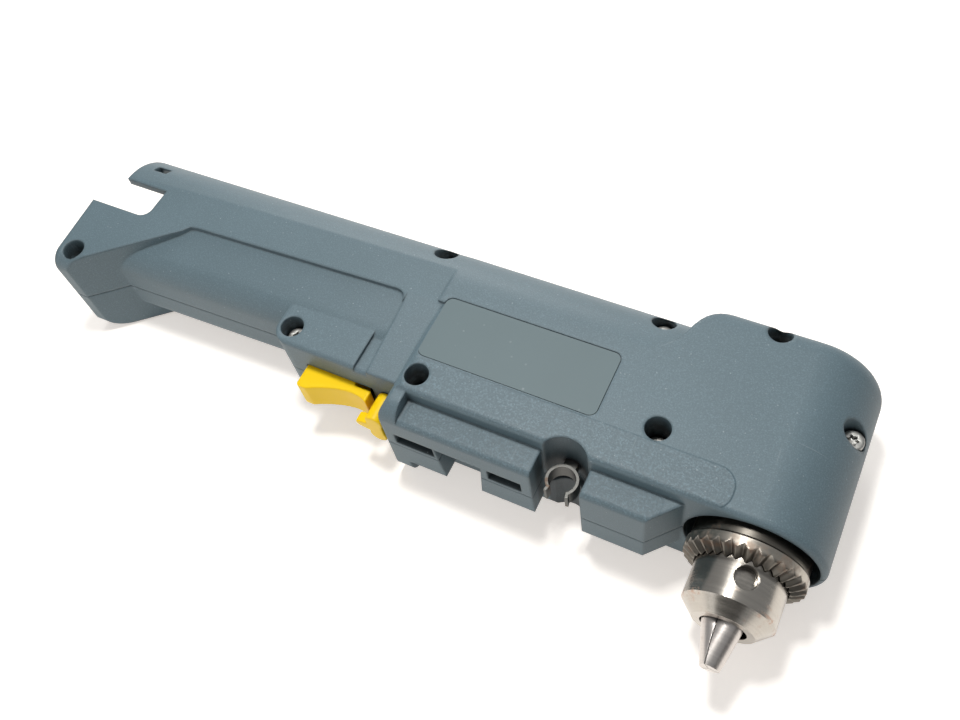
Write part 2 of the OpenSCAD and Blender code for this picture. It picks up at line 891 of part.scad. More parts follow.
// Tab that holds the key clip in a slot of the recess wall
module clip_tab(gap)
    block([-recess_x - clip_bore_r / 2 - gap, recess_y + clip_bore_r, clip_low - gap],
        [-recess_x + clip_bore_r / 2 + gap, recess_y + recess_r + clip_bore_r / 2 + gap,
            clip_low + clip_bore_r + gap]);

module key_clip() {
    clip_r = clip_bore_r + clip_strip_t;
    mouth = clip_bore_r * clip_mouth_share;
    color(steel) {
        along_z(clip_low, clip_low + clip_h) {
            difference() {
                translate([-recess_x, recess_y]) circle(clip_r);
                translate([-recess_x, recess_y]) circle(clip_bore_r);
                translate([-recess_x - mouth, recess_y - clip_r - overrun])
                    square([mouth + mouth, clip_r + overrun]);
            }
            for (side = [-1, 1])
                translate([-recess_x + side * mouth, recess_y - mouth])
                    rotate(side * clip_lip_turn)
                        translate([-clip_strip_t / 2, -clip_bore_r / 2])
                            square([clip_strip_t, clip_bore_r / 2]);
        }
        clip_tab(0);
    }
}

function bezier(a, b, c, steps) =
    [for (i = [0:steps]) let (t = i / steps) a * (1 - t) * (1 - t) + b * (2 * t * (1 - t)) + c * t * t];

// Side outline of the trigger with its hollow finger face
module trigger_outline()
    polygon(concat(
        [[-trigger_rear, trigger_shelf_y]],
        arc([trigger_edge_r - trigger_rear, trigger_foot_y + trigger_edge_r], trigger_edge_r,
            180, 270, arc_steps),
        bezier([-trigger_bend, trigger_foot_y], [-trigger_tip - trigger_waist, trigger_waist_y],
            [-trigger_tip, trigger_tip_y], arc_steps),
        [[-trigger_tip, trigger_wall_y - trigger_tip_gap], [-trigger_front, trigger_wall_y - trigger_tip_gap],
            [-trigger_front, trigger_shelf_y]]
    ));

module trigger()
    color(yellow) {
        along_z(-trigger_half, trigger_half) trigger_outline();
        block([-trigger_rear, trigger_in_y + moving_gap, -trigger_half - trigger_lip],
            [-trigger_front, trigger_in_y + moving_gap + trigger_lip_t, trigger_half + trigger_lip]);
        rod_y(trigger_shelf_y - overrun, trigger_shelf_y + stem_len, stem_r, -stem_x);
    }

module trigger_switch()
    color(black)
        difference() {
            block([-switch_rear, switch_low, -switch_half], [-switch_front, switch_top, switch_half]);
            rod_y(switch_low - overrun, switch_low + stem_bore_len, stem_r + running_gap, -stem_x);
            for (i = [1:switch_ribs])
                for (side = [-1, 1])
                    block([-switch_front - i * switch_rib_pitch, switch_low - overrun,
                            side * switch_half - switch_rib_t / 2],
                        [-switch_front - i * switch_rib_pitch + switch_rib_t, switch_top + overrun,
                            side * switch_half + switch_rib_t / 2]);
        }

module reverse_lever()
    color(yellow)
        translate([-lever_x, 0, 0]) {
            along_y(trigger_wall_y - lever_out, trigger_wall_y - moving_gap) {
                for (side = [-1, 1])
                    translate([0, side * (lever_half_len - lever_lobe_r)]) circle(lever_lobe_r);
                translate([-lever_waist, lever_lobe_r - lever_half_len])
                    square([lever_waist + lever_waist,
                        lever_half_len + lever_half_len - lever_lobe_r - lever_lobe_r]);
            }
            along_y(trigger_wall_y - lever_out, trigger_wall_y - lever_out + lever_nose_h)
                polygon(concat(
                    [[0, -lever_lobe_r], [0, lever_lobe_r]],
                    arc([lever_nose_r - lever_nose, 0], lever_nose_r, 90 + lever_nose_turn,
                        270 - lever_nose_turn, arc_steps)
                ));
            rod_y(trigger_wall_y - lever_out, trigger_wall_y + lever_shaft_len, lever_shaft_r);
            rod_y(trigger_wall_y + lever_shaft_len - lever_flange_t, trigger_wall_y + lever_shaft_len,
                lever_flange_r);
        }

module contact_block()
    color(black)
        difference() {
            block([-bay_front, contact_low, -contact_half], [-contact_x, contact_high, contact_half]);
            for (y = lead_ys)
                blade_form(y, seat_gap);
        }

// One contact blade, which stands in the contact block and reaches into the bay
module blade_form(y, gap)
    block([-bay_front - blade_len, y - blade_t / 2 - gap, -blade_w / 2 - gap],
        [-bay_front + blade_root + gap, y + blade_t / 2 + gap, blade_w / 2 + gap]);

module contact_blades()
    color(brass)
        for (y = lead_ys)
            blade_form(y, 0);

module supply_leads()
    color(copper)
        for (y = lead_ys)
            rod_x(-contact_x, -switch_rear, lead_r, y);

module motor_leads()
    color(copper)
        for (y = lead_ys)
            rod_x(-switch_front, -motor_rear - cap_t, lead_r, y);

module motor_can()
    color(steel)
        difference() {
            union() {
                rod_x(-motor_rear, -motor_front, motor_r);
                rod_x(-motor_front - can_wall, -motor_front + motor_boss_len, motor_boss_r);
            }
            rod_x(-motor_rear - overrun, -motor_front - can_wall, motor_r - can_wall);
            rod_x(-motor_front - can_wall - overrun, -motor_front + motor_boss_len + overrun,
                shaft_r + running_gap);
        }

module motor_magnets() {
    outer_r = motor_r - can_wall - seat_gap;
    color(dark_steel)
        difference() {
            rod_x(-magnet_rear, -magnet_rear + magnet_len, outer_r);
            rod_x(-magnet_rear - overrun, -magnet_rear + magnet_len + overrun, outer_r - magnet_t);
            block([-magnet_rear - overrun, drive_y - motor_r, -magnet_gap / 2],
                [-magnet_rear + magnet_len + overrun, drive_y + motor_r, magnet_gap / 2]);
        }
}

module motor_end_cap()
    color(black)
        difference() {
            union() {
                rod_x(-motor_rear - cap_t, -motor_rear, motor_r - cap_inset);
                rod_x(-motor_rear - cap_t, -motor_rear + cap_spigot, motor_r - can_wall - seat_gap);
            }
            rod_x(-motor_rear - cap_t - overrun, -motor_rear + cap_spigot + overrun, shaft_r + running_gap);
        }

module carbon_brushes()
    color(black)
        for (side = [0, 1])
            translate([0, drive_y, 0])
                mirror([0, side, 0])
                    block([-motor_rear + cap_spigot, commutator_r + brush_gap, -brush_w / 2],
                        [-motor_rear + cap_spigot + brush_len, brush_end, brush_w / 2]);

module core_slots_cut(width, inner, outer, from, to)
    for (i = [0:core_slots - 1])
        translate([0, drive_y, 0])
            rotate([360 * i / core_slots, 0, 0])
                block([from, inner, -width / 2], [to, outer, width / 2]);

module armature_core()
    color(dark_steel)
        difference() {
            rod_x(-core_rear, -core_rear + core_len, core_r);
            rod_x(-core_rear - overrun, -core_rear + core_len + overrun, shaft_r + seat_gap);
            core_slots_cut(core_slot_w, core_r - core_slot_depth, core_r + overrun, -core_rear - overrun,
                -core_rear + core_len + overrun);
        }

module armature_windings()
    color(copper)
        difference() {
            union() {
                for (x = [-core_rear - winding_t, -core_rear + core_len])
                    rod_x(x, x + winding_t, winding_r);
                core_slots_cut(core_slot_w - seat_gap - seat_gap, core_r - core_slot_depth + seat_gap,
                    winding_r, -core_rear - winding_t, -core_rear + core_len + winding_t);
            }
            rod_x(-core_rear - winding_t - overrun, -core_rear + seat_gap, winding_bore_r);
            rod_x(-core_rear + core_len - seat_gap, -core_rear + core_len + winding_t + overrun,
                winding_bore_r);
        }

module commutator()
    color(copper)
        difference() {
            rod_x(-commutator_rear, -commutator_rear + commutator_len, commutator_r);
            rod_x(-commutator_rear - overrun, -commutator_rear + commutator_len + overrun,
                shaft_r + seat_gap);
            core_slots_cut(commutator_slit, commutator_r - commutator_slit - commutator_slit,
                commutator_r + overrun, -commutator_rear - overrun,
                -commutator_rear + commutator_len + overrun);
        }

module motor_shaft()
    color(steel) rod_x(-motor_rear - shaft_tail, -shaft_front, shaft_r);

module motor_fan()
    color(black)
        difference() {
            union() {
                rod_x(-fan_rear, -fan_rear + fan_h, fan_hub_r);
                rod_x(-fan_rear + fan_h - fan_t, -fan_rear + fan_h, fan_r);
                for (i = [0:fan_blades - 1])
                    translate([0, drive_y, 0])
                        rotate([360 * i / fan_blades, 0, 0])
                            block([-fan_rear, fan_hub_r - fan_t, -fan_t / 2],
                                [-fan_rear + fan_h, fan_r - fan_t, fan_t / 2]);
            }
            rod_x(-fan_rear - overrun, -fan_rear + fan_h + overrun, shaft_r + seat_gap);
        }

module sun_pinion()
    color(steel)
        along_x(-sun_rear, -planet_rear + planet_w)
            translate([drive_y, 0])
                difference() {
                    polygon(gear_outline(sun_teeth, sun_pitch_r, planet_module, 1));
                    circle(shaft_r + seat_gap);
                }

module ring_gear()
    color(dark_steel)
        along_x(-ring_rear, -ring_rear + ring_w)
            translate([drive_y, 0])
                difference() {
                    union() {
                        circle(ring_outer_r);
                        square([ring_outer_r + ring_outer_r + ring_lug_t + ring_lug_t, ring_lug_w],
                            center = true);
                    }
                    polygon(gear_outline(ring_teeth, ring_pitch_r, planet_module, -1));
                }

function planet_place(i) =
    [drive_y, 0] + planet_orbit * [cos(360 * i / planet_count), sin(360 * i / planet_count)];

module planet_gear(i)
    color(steel)
        along_x(-planet_rear, -planet_rear + planet_w)
            translate(planet_place(i))
                difference() {
                    rotate(360 * i / planet_count + 180 / planet_teeth)
                        polygon(gear_outline(planet_teeth, planet_pitch_r, planet_module, 1));
                    circle(planet_pin_r + running_gap);
                }

module planet_carrier()
    color(dark_steel)
        difference() {
            union() {
                rod_x(-carrier_rear, -carrier_front, carrier_r);
                rod_x(-carrier_rear, -carrier_front + carrier_hub_len, carrier_hub_r);
                for (i = [0:planet_count - 1])
                    rod_x(-planet_rear - moving_gap, -carrier_rear + overrun, planet_pin_r,
                        planet_place(i)[0], planet_place(i)[1]);
            }
            rod_x(-carrier_front - carrier_t / 2, -carrier_front + carrier_hub_len + overrun,
                pinion_shaft_r + seat_gap);
        }

// One bevel tooth: its large end drawn in to the point where the two axes cross
module bevel_tooth(large_end) {
    apex = [0, drive_y, 0];
    small_end = [for (p = large_end) apex + (p - apex) * bevel_share];
    polyhedron(
        points = concat(large_end, small_end),
        faces = [[3, 2, 1, 0], [4, 5, 6, 7], [1, 5, 4, 0], [2, 6, 5, 1], [3, 7, 6, 2], [0, 4, 7, 3]]
    );
}

module bevel_pinion() {
    foot_y = drive_y - pinion_pitch_r + bevel_ded + tooth_sink;
    crest_y = drive_y - pinion_pitch_r - bevel_add;
    color(steel) {
        rod_x(-carrier_front - carrier_t / 2, -crown_pitch_r, pinion_shaft_r);
        rod_x(-crown_pitch_r - pinion_hub_len, -crown_pitch_r + tooth_sink, pinion_hub_r);
        translate([-crown_pitch_r, drive_y, 0])
            rotate([0, 90, 0])
                cylinder(h = crown_pitch_r * (1 - bevel_share), r1 = pinion_pitch_r - bevel_ded,
                    r2 = (pinion_pitch_r - bevel_ded) * bevel_share);
        for (i = [0:pinion_teeth - 1])
            translate([0, drive_y, 0])
                rotate([360 * (i + 0.5) / pinion_teeth, 0, 0])
                    translate([0, -drive_y, 0])
                        bevel_tooth([
                            [-crown_pitch_r, foot_y, -bevel_foot_half],
                            [-crown_pitch_r, crest_y, -bevel_crest_half],
                            [-crown_pitch_r, crest_y, bevel_crest_half],
                            [-crown_pitch_r, foot_y, bevel_foot_half]
                        ]);
    }
}

// Half section of a shielded ball bearing, from its bore to its outer ring
module bearing_section(bore, outer, w) {
    ring = (outer - bore) / 4;
    difference() {
        translate([bore, 0]) square([outer - bore, w]);
        for (y = [0, w])
            translate([bore + ring, y - shield_depth]) square([ring + ring, shield_depth + shield_depth]);
    }
}

module pinion_bearing()
    color(steel)
        translate([-pinion_bearing_rear, drive_y, 0])
            spun_x() bearing_section(pinion_shaft_r + running_gap, pinion_bearing_r, pinion_bearing_w);

module crown_gear() {
    root_y = drive_y - pinion_pitch_r - bevel_ded;
    inner_r = crown_pitch_r * bevel_share;
    inner_root_y = drive_y - (drive_y - root_y) * bevel_share;
    color(dark_steel) {
        spun_y()
            polygon([
                [spindle_r + seat_gap, crown_back_y], [crown_hub_r, crown_back_y],
                [crown_pitch_r, crown_back_y + crown_rim], [crown_pitch_r, root_y],
                [inner_r, inner_root_y], [crown_hub_r, inner_root_y], [crown_hub_r, crown_top_y],
                [spindle_r + seat_gap, crown_top_y]
            ]);
        for (i = [0:crown_teeth - 1])
            rotate([0, 360 * i / crown_teeth, 0])
                bevel_tooth([
                    [-crown_pitch_r, root_y - tooth_sink, -bevel_foot_half],
                    [-crown_pitch_r, root_y - tooth_sink, bevel_foot_half],
                    [-crown_pitch_r, drive_y - pinion_pitch_r + bevel_add, bevel_crest_half],
                    [-crown_pitch_r, drive_y - pinion_pitch_r + bevel_add, -bevel_crest_half]
                ]);
    }
}

module spindle()
    color(steel)
        difference() {
            union() {
                rod_y(spindle_nose_end, chuck_back + collar_gap, spindle_nose_r);
                rod_y(chuck_back + collar_gap, chuck_back + collar_gap + collar_t, collar_r);
                rod_y(chuck_back + collar_gap, journal_from, spindle_r);
                rod_y(journal_from - overrun, spindle_end, journal_r);
            }
            rod_y(spindle_nose_end - overrun, spindle_nose_end + chuck_screw_len, chuck_screw_r + seat_gap);
            difference() {
                rod_y(crown_top_y, crown_top_y + clip_ring_t, spindle_r + overrun);
                rod_y(crown_top_y - overrun, crown_top_y + clip_ring_t + overrun,
                    spindle_r - clip_ring_depth);
            }
        }

module spindle_bearing()
    color(steel)
        translate([0, bearing_y, 0])
            spun_y() bearing_section(spindle_r + running_gap, bearing_r, bearing_w);

module spindle_bush()
    color(brass)
        difference() {
            rod_y(bush_y, bush_y + bush_len, journal_r + bush_wall);
            rod_y(bush_y - overrun, bush_y + bush_len + overrun, journal_r + running_gap);
        }

module spindle_circlip()
    color(dark_steel)
        difference() {
            rod_y(crown_top_y + seat_gap, crown_top_y + clip_ring_t - seat_gap,
                spindle_r - clip_ring_depth + clip_ring_w);
            rod_y(crown_top_y - overrun, crown_top_y + clip_ring_t + overrun,
                spindle_r - clip_ring_depth + seat_gap);
            block([0, crown_top_y - overrun, -clip_ring_gap / 2],
                [spindle_r + clip_ring_w + overrun, crown_top_y + clip_ring_t + overrun, clip_ring_gap / 2]);
        }

// One jaw, or its bore, along its leaning axis
module jaw_rod(i, r, from, to)
    rotate([0, jaw_turn + 360 * i / jaw_count, 0])
        translate([-jaw_offset, -tip_drop, 0])
            rotate([0, 0, -jaw_lean])
                rod_y(from, to, r);

module chuck_body()
    color(steel)
        difference() {
            spun_y()
                polygon([
                    [0, -nose_drop], [nose_rim_r, -nose_drop], [chuck_r, -nose_start],
                    [chuck_r, nut_y - nut_room], [groove_r, nut_y - nut_room],
                    [groove_r, nut_y + nut_t + nut_room],
                    [flange_r, nut_y + nut_t + nut_room], [flange_r, chuck_back], [0, chuck_back]
                ]);
            rod_y(-nose_drop - overrun, chuck_back + overrun, shank_r);
            rod_y(spindle_nose_end - seat_gap, chuck_back + overrun, spindle_nose_r + seat_gap);
            translate([0, -nose_drop - overrun, 0])
                rotate([-90, 0, 0])
                    cylinder(h = mouth_depth + overrun, r1 = jaw_reach(-nose_drop - overrun) + mouth_gap,
                        r2 = jaw_reach(mouth_depth - nose_drop) + mouth_gap);
            for (i = [0:jaw_count - 1]) {
                jaw_rod(i, jaw_r + jaw_gap, (tip_drop - nose_drop) / cos(jaw_lean),
                    jaw_len + jaw_travel + jaw_r);
                rotate([0, key_hole_turn + 360 * i / jaw_count, 0])
                    translate([chuck_r - key_hole_depth, key_hole_y, 0])
                        rotate([0, 90, 0])
                            cylinder(h = key_hole_depth + overrun, r = key_hole_r);
            }
        }

// Grooves between the teeth of the sleeve, which slope from its rim to its foot
module sleeve_grooves() {
    run = sleeve_r - sleeve_bore_r;
    drop = sleeve_groove_top + sleeve_foot - sleeve_web;
    mouth = sleeve_root_half + sleeve_flank_share * sleeve_foot;
    for (i = [0:sleeve_teeth - 1])
        rotate([0, 360 * i / sleeve_teeth, 0])
            translate([sleeve_r, sleeve_groove_top, 0])
                rotate([0, 0, -atan(run / drop)])
                    along_y(-run - drop, overrun)
                        polygon([[0, -sleeve_root_half], [sleeve_foot, -mouth], [sleeve_foot, mouth],
                            [0, sleeve_root_half]]);
}

module chuck_sleeve()
    color(steel)
        difference() {
            spun_y()
                polygon([
                    [sleeve_bore_r, -sleeve_foot], [sleeve_foot_r, -sleeve_foot],
                    [sleeve_r, -sleeve_rim], [sleeve_r, sleeve_band],
                    [sleeve_r - sleeve_band_in, sleeve_band + sleeve_band_in],
                    [sleeve_r - sleeve_band_in, sleeve_top - sleeve_top_in],
                    [sleeve_r - sleeve_band_in - sleeve_top_in, sleeve_top],
                    [sleeve_room_r, sleeve_top], [sleeve_room_r, nut_y + nut_t],
                    [nut_r + seat_gap, nut_y + nut_t], [nut_r + seat_gap, nut_y], [sleeve_bore_r, nut_y]
                ]);
            sleeve_grooves();
        }

module chuck_nut() {
    low_r = jaw_reach(nut_y) + jaw_gap + jaw_gap;
    high_r = jaw_reach(nut_y + nut_t) + jaw_gap + jaw_gap;
    color(dark_steel)
        spun_y()
            polygon([[low_r, nut_y + seat_gap], [nut_r, nut_y + seat_gap],
                [nut_r, nut_y + nut_t], [high_r, nut_y + nut_t]]);
}

// Distance from the chuck axis to a jaw's outer side at height y
function jaw_reach(y) = jaw_tip_r + (y + tip_drop) * tan(jaw_lean);

module chuck_screw()
    color(dark_steel)
        difference() {
            union() {
                rod_y(spindle_nose_end - chuck_screw_head_t, spindle_nose_end, chuck_screw_head_r);
                rod_y(spindle_nose_end - chuck_screw_head_t, spindle_nose_end + chuck_screw_len - overrun,
                    chuck_screw_r);
            }
            rod_y(spindle_nose_end - chuck_screw_head_t - overrun, spindle_nose_end - chuck_screw_head_t / 2,
                socket_r);
        }

module chuck_jaw(i)
    color(steel)
        intersection() {
            jaw_rod(i, jaw_r, -jaw_r, jaw_len);
            rotate([0, jaw_turn + 360 * i / jaw_count, 0])
                along_y(-tip_drop, chuck_back)
                    polygon([
                        [jaw_gap / sin(60), 0],
                        [jaw_gap / sin(60) + flange_r * cos(60), flange_r * sin(60)],
                        [flange_r + flange_r, 0],
                        [jaw_gap / sin(60) + flange_r * cos(60), -flange_r * sin(60)]
                    ]);
        }

placed() upper_housing();
placed() lower_housing();
placed() housing_screws();
placed() name_plate();
placed() key_clip();
placed() trigger();
placed() trigger_switch();
placed() reverse_lever();
placed() contact_block();
placed() contact_blades();
placed() supply_leads();
placed() motor_leads();
placed() motor_can();
placed() motor_magnets();
placed() motor_end_cap();
placed() carbon_brushes();
placed() armature_core();
placed() armature_windings();
placed() commutator();
placed() motor_shaft();
placed() motor_fan();
placed() sun_pinion();
placed() ring_gear();
placed() planet_gear(0);  // planet_gear_1
placed() planet_gear(1);  // planet_gear_2
placed() planet_gear(2);  // planet_gear_3
placed() planet_carrier();
placed() bevel_pinion();
placed() pinion_bearing();
placed() crown_gear();
placed() spindle();
placed() spindle_bearing();
placed() spindle_bush();
placed() spindle_circlip();
placed() chuck_body();
placed() chuck_sleeve();
placed() chuck_nut();
placed() chuck_screw();
placed() chuck_jaw(0);  // chuck_jaw_1
placed() chuck_jaw(1);  // chuck_jaw_2
placed() chuck_jaw(2);  // chuck_jaw_3
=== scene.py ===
import json
import math

import bmesh
import bpy
from mathutils import Matrix, Vector


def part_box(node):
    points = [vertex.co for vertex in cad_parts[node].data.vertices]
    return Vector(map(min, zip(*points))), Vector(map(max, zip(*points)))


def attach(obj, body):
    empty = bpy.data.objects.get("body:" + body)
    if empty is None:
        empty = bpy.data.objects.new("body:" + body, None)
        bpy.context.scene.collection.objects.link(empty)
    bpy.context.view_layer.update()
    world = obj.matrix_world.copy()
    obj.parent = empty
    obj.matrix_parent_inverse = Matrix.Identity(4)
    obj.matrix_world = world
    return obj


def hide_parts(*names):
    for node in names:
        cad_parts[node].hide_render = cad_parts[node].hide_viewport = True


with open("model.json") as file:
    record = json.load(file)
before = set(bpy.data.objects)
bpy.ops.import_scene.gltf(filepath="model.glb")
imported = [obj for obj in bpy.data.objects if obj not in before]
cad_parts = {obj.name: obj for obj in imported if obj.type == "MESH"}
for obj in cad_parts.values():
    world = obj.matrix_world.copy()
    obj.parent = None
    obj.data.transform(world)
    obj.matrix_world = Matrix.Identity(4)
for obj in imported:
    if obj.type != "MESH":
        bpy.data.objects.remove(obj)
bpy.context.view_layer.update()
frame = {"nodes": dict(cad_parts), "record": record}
nodes = frame["nodes"]
scene = bpy.context.scene
print("frame loaded:", len(nodes), "nodes")

mm = 0.001
sleeveTop = 14.5  # of the sleeve above its widest circle, in millimetres
sleeveLow, sleeveHigh = (Vector(corner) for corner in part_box("chuck_sleeve"))
toolOrigin = (sleeveLow + sleeveHigh) / 2  # chuck axis, sleeve's widest circle and seam
toolOrigin.y = sleeveHigh.y - sleeveTop * mm


def place(x, y, z):  # tool millimetres to row metres
    return Vector((x, y, z)) * mm + toolOrigin


def alongAt(y):  # row metres along the chuck axis
    return place(0, y, 0).y


def heightAt(z):  # row metres above the floor
    return place(0, 0, z).z


# camera at the photograph's place
cameraSet = {
    "yaw": 37.23, "pitch": 57.59, "roll": 13.16,  # degrees
    "eye": (1.9475, -102.2537, 270.8444),  # tool millimetres
    "lens": 35.625, "sensor": 36.0, "nearClip": 0.01,
}


def addCamera(s):
    yaw, pitch, roll = (math.radians(s[angle]) for angle in ("yaw", "pitch", "roll"))
    level = math.cos(pitch)
    ahead = Vector((-math.sin(yaw) * level, math.cos(yaw) * level, -math.sin(pitch)))
    right = Vector((math.cos(yaw), math.sin(yaw), 0))
    down = ahead.cross(right)
    rolledRight = right * math.cos(roll) + down * math.sin(roll)
    rolledDown = down * math.cos(roll) - right * math.sin(roll)
    turn = Matrix((rolledRight, -rolledDown, -ahead)).transposed().to_4x4()
    data = bpy.data.cameras.new("photoCamera")
    data.lens = s["lens"]
    data.sensor_width = s["sensor"]
    data.sensor_fit = "HORIZONTAL"
    data.clip_start = s["nearClip"]
    camera = bpy.data.objects.new("photoCamera", data)
    camera.matrix_world = Matrix.Translation(place(*s["eye"])) @ turn
    scene.collection.objects.link(camera)
    scene.camera = camera


addCamera(cameraSet)
print("camera set")


# node helpers
def feed(tree, socket, value):  # a plain value, or a link from another node
    if isinstance(value, bpy.types.NodeSocket):
        tree.links.new(value, socket)
    else:
        socket.default_value = value


def addNode(tree, kind, values=None, **settings):
    node = tree.nodes.new(kind)
    for key, value in settings.items():
        setattr(node, key, value)
    for key, value in (values or {}).items():
        feed(tree, node.inputs[key], value)
    return node


def newGroup(name, ins, outs):
    tree = bpy.data.node_groups.new(name, "ShaderNodeTree")
    for label, value in ins.items():
        kind = "NodeSocketVector" if isinstance(value, tuple) else "NodeSocketFloat"
        tree.interface.new_socket(name=label, in_out="INPUT", socket_type=kind).default_value = value
    for label in outs:
        tree.interface.new_socket(name=label, in_out="OUTPUT", socket_type="NodeSocketFloat")
    return tree, tree.nodes.new("NodeGroupInput").outputs, tree.nodes.new("NodeGroupOutput").inputs


def useGroup(tree, group, values=None):
    return addNode(tree, "ShaderNodeGroup", values, node_tree=group).outputs


def mathNode(tree, operation, *values, clamp=False):
    node = addNode(tree, "ShaderNodeMath", dict(enumerate(values)), operation=operation, use_clamp=clamp)
    return node.outputs[0]


def vectorNode(tree, operation, *values):
    node = addNode(tree, "ShaderNodeVectorMath", dict(enumerate(values)), operation=operation)
    return node.outputs["Value" if operation in ("LENGTH", "DOT_PRODUCT") else "Vector"]


def objectSpot(tree):
    return addNode(tree, "ShaderNodeTexCoord").outputs["Object"]


def splitAxes(tree, spot):
    return addNode(tree, "ShaderNodeSeparateXYZ", {0: spot}).outputs


def between(tree, value, low, high):  # 0 to 1 becomes low to high
    values = {"Value": value, "To Min": low, "To Max": high}
    return addNode(tree, "ShaderNodeMapRange", values).outputs["Result"]


def stepUp(tree, value, low, high, falling=False):  # smooth 0 to 1 between two levels, or 1 to 0
    values = {"Value": value, "From Min": low, "From Max": high}
    if falling:
        values.update({"To Min": 1.0, "To Max": 0.0})
    return addNode(tree, "ShaderNodeMapRange", values, interpolation_type="SMOOTHSTEP").outputs["Result"]


def noise(tree, spot, scale=1.0, detail=2.0, rough=0.5, stretch=None, turn=(0, 0, 0)):
    if stretch:
        mapping = addNode(tree, "ShaderNodeMapping", {"Vector": spot, "Rotation": turn, "Scale": stretch})
        spot = mapping.outputs[0]
    values = {"Vector": spot, "Scale": scale, "Detail": detail, "Roughness": rough}
    return addNode(tree, "ShaderNodeTexNoise", values).outputs["Fac"]


def tint(colour, share=1.0):
    return tuple(min(1.0, c * share) for c in colour) + (1.0,)


def tints(colour, levels):
    return [tint(colour, level) for level in levels]


def mixColour(tree, share, a, b):
    values = {0: share, 6: a, 7: b}  # the mix node's colour sockets
    return addNode(tree, "ShaderNodeMix", values, data_type="RGBA", clamp_factor=True).outputs[2]


def paintOver(tree, base, mask, share, colour):  # lays a colour over the base where the mask shows
    return mixColour(tree, mathNode(tree, "MULTIPLY", mask, share), base, colour)


# moulded plastic: fine spark texture, slow cloudy change, pale dust specks
grainSet = {
    "fine": {"detail": 3.0, "rough": 0.6}, "cloud": {"scale": 26.0, "detail": 4.0, "rough": 0.6},
    "dot": (0.06, 0.22), "rare": (0.8, 1.0),
}


def makeMouldGrain(s):
    ins = {"Scale": 2200.0, "Speck Scale": 700.0}
    tree, given, result = newGroup("mouldGrain", ins, ("Height", "Cloud", "Speck"))
    spot = objectSpot(tree)
    feed(tree, result["Height"], noise(tree, spot, given["Scale"], **s["fine"]))
    feed(tree, result["Cloud"], noise(tree, spot, **s["cloud"]))
    cells = addNode(tree, "ShaderNodeTexVoronoi", {"Vector": spot, "Scale": given["Speck Scale"]})
    dot = stepUp(tree, cells.outputs["Distance"], *s["dot"], falling=True)
    pick = addNode(tree, "ShaderNodeSeparateColor", {0: cells.outputs["Color"]})
    rare = stepUp(tree, pick.outputs[0], *s["rare"])  # few cells hold a speck
    feed(tree, result["Speck"], mathNode(tree, "MULTIPLY", dot, rare))
    return tree


# rubbed corners: where a rounded normal leaves the face's own normal
bevelSamples = 6
rubSet = {"patch": {"scale": 190.0, "detail": 3.0, "rough": 0.6}, "patchLevels": (0.36, 0.62)}


def makeEdgeRub(s):
    tree, given, result = newGroup("edgeRub", {"Radius": 0.0006, "Low": 0.02, "High": 0.2}, ("Mask",))
    rounded = addNode(tree, "ShaderNodeBevel", {"Radius": given["Radius"]}, samples=bevelSamples)
    own = addNode(tree, "ShaderNodeNewGeometry").outputs["Normal"]
    away = mathNode(tree, "SUBTRACT", 1.0, vectorNode(tree, "DOT_PRODUCT", rounded.outputs[0], own))
    level = stepUp(tree, away, given["Low"], given["High"])
    patchy = stepUp(tree, noise(tree, objectSpot(tree), **s["patch"]), *s["patchLevels"])
    feed(tree, result["Mask"], mathNode(tree, "MULTIPLY", level, patchy))
    return tree


# short pale scratches in two directions
markSet = {
    "strokes": (((30, 900, 60), 0.5), ((700, 36, 60), 0.25)),  # stretch and turn of each direction
    "strokeLevels": (0.69, 0.78), "where": {"scale": 40.0}, "whereLevels": (0.5, 0.72),
}


def makeHandMarks(s):
    tree, given, result = newGroup("handMarks", {"Amount": 0.5}, ("Mask",))
    spot = objectSpot(tree)
    strokes = []
    for stretch, turn in s["strokes"]:
        streaks = noise(tree, spot, stretch=stretch, turn=(0, 0, turn))
        strokes.append(stepUp(tree, streaks, *s["strokeLevels"]))
    where = stepUp(tree, noise(tree, spot, **s["where"]), *s["whereLevels"])
    marked = mathNode(tree, "MULTIPLY", mathNode(tree, "MAXIMUM", *strokes), where)
    feed(tree, result["Mask"], mathNode(tree, "MULTIPLY", marked, given["Amount"]))
    return tree


# turned steel: fine rings about the chuck axis
turnedSet = {
    "rings": {"rough": 0.7, "stretch": (40.0, 3200.0, 40.0)},
    "streak": {"stretch": (0.03, 1.0, 0.03)},
}


def makeTurnedSteel(s):
    tree, given, result = newGroup("turnedSteel", {"Rings": 2600.0}, ("Height", "Streak"))
    spot = objectSpot(tree)
    feed(tree, result["Height"], noise(tree, spot, **s["rings"]))
    feed(tree, result["Streak"], noise(tree, spot, given["Rings"], **s["streak"]))
    return tree


# rust in small blooms that gather in wider patches
bloomSet = {
    "bloom": {"detail": 5.0, "rough": 0.65}, "wide": {"scale": 60.0}, "wideShare": 0.6,
    "levels": (0.92, 1.08), "tone": {"scale": 900.0},
}


def makeRustBloom(s):
    tree, given, result = newGroup("rustBloom", {"Amount": 0.5, "Scale": 260.0}, ("Mask", "Tone"))
    spot = objectSpot(tree)
    bloom = noise(tree, spot, given["Scale"], **s["bloom"])
    mixed = mathNode(tree, "MULTIPLY_ADD", noise(tree, spot, **s["wide"]), s["wideShare"], bloom)
    mask = mathNode(tree, "MULTIPLY", stepUp(tree, mixed, *s["levels"]), given["Amount"])
    feed(tree, result["Mask"], mask)
    feed(tree, result["Tone"], noise(tree, spot, **s["tone"]))
    return tree


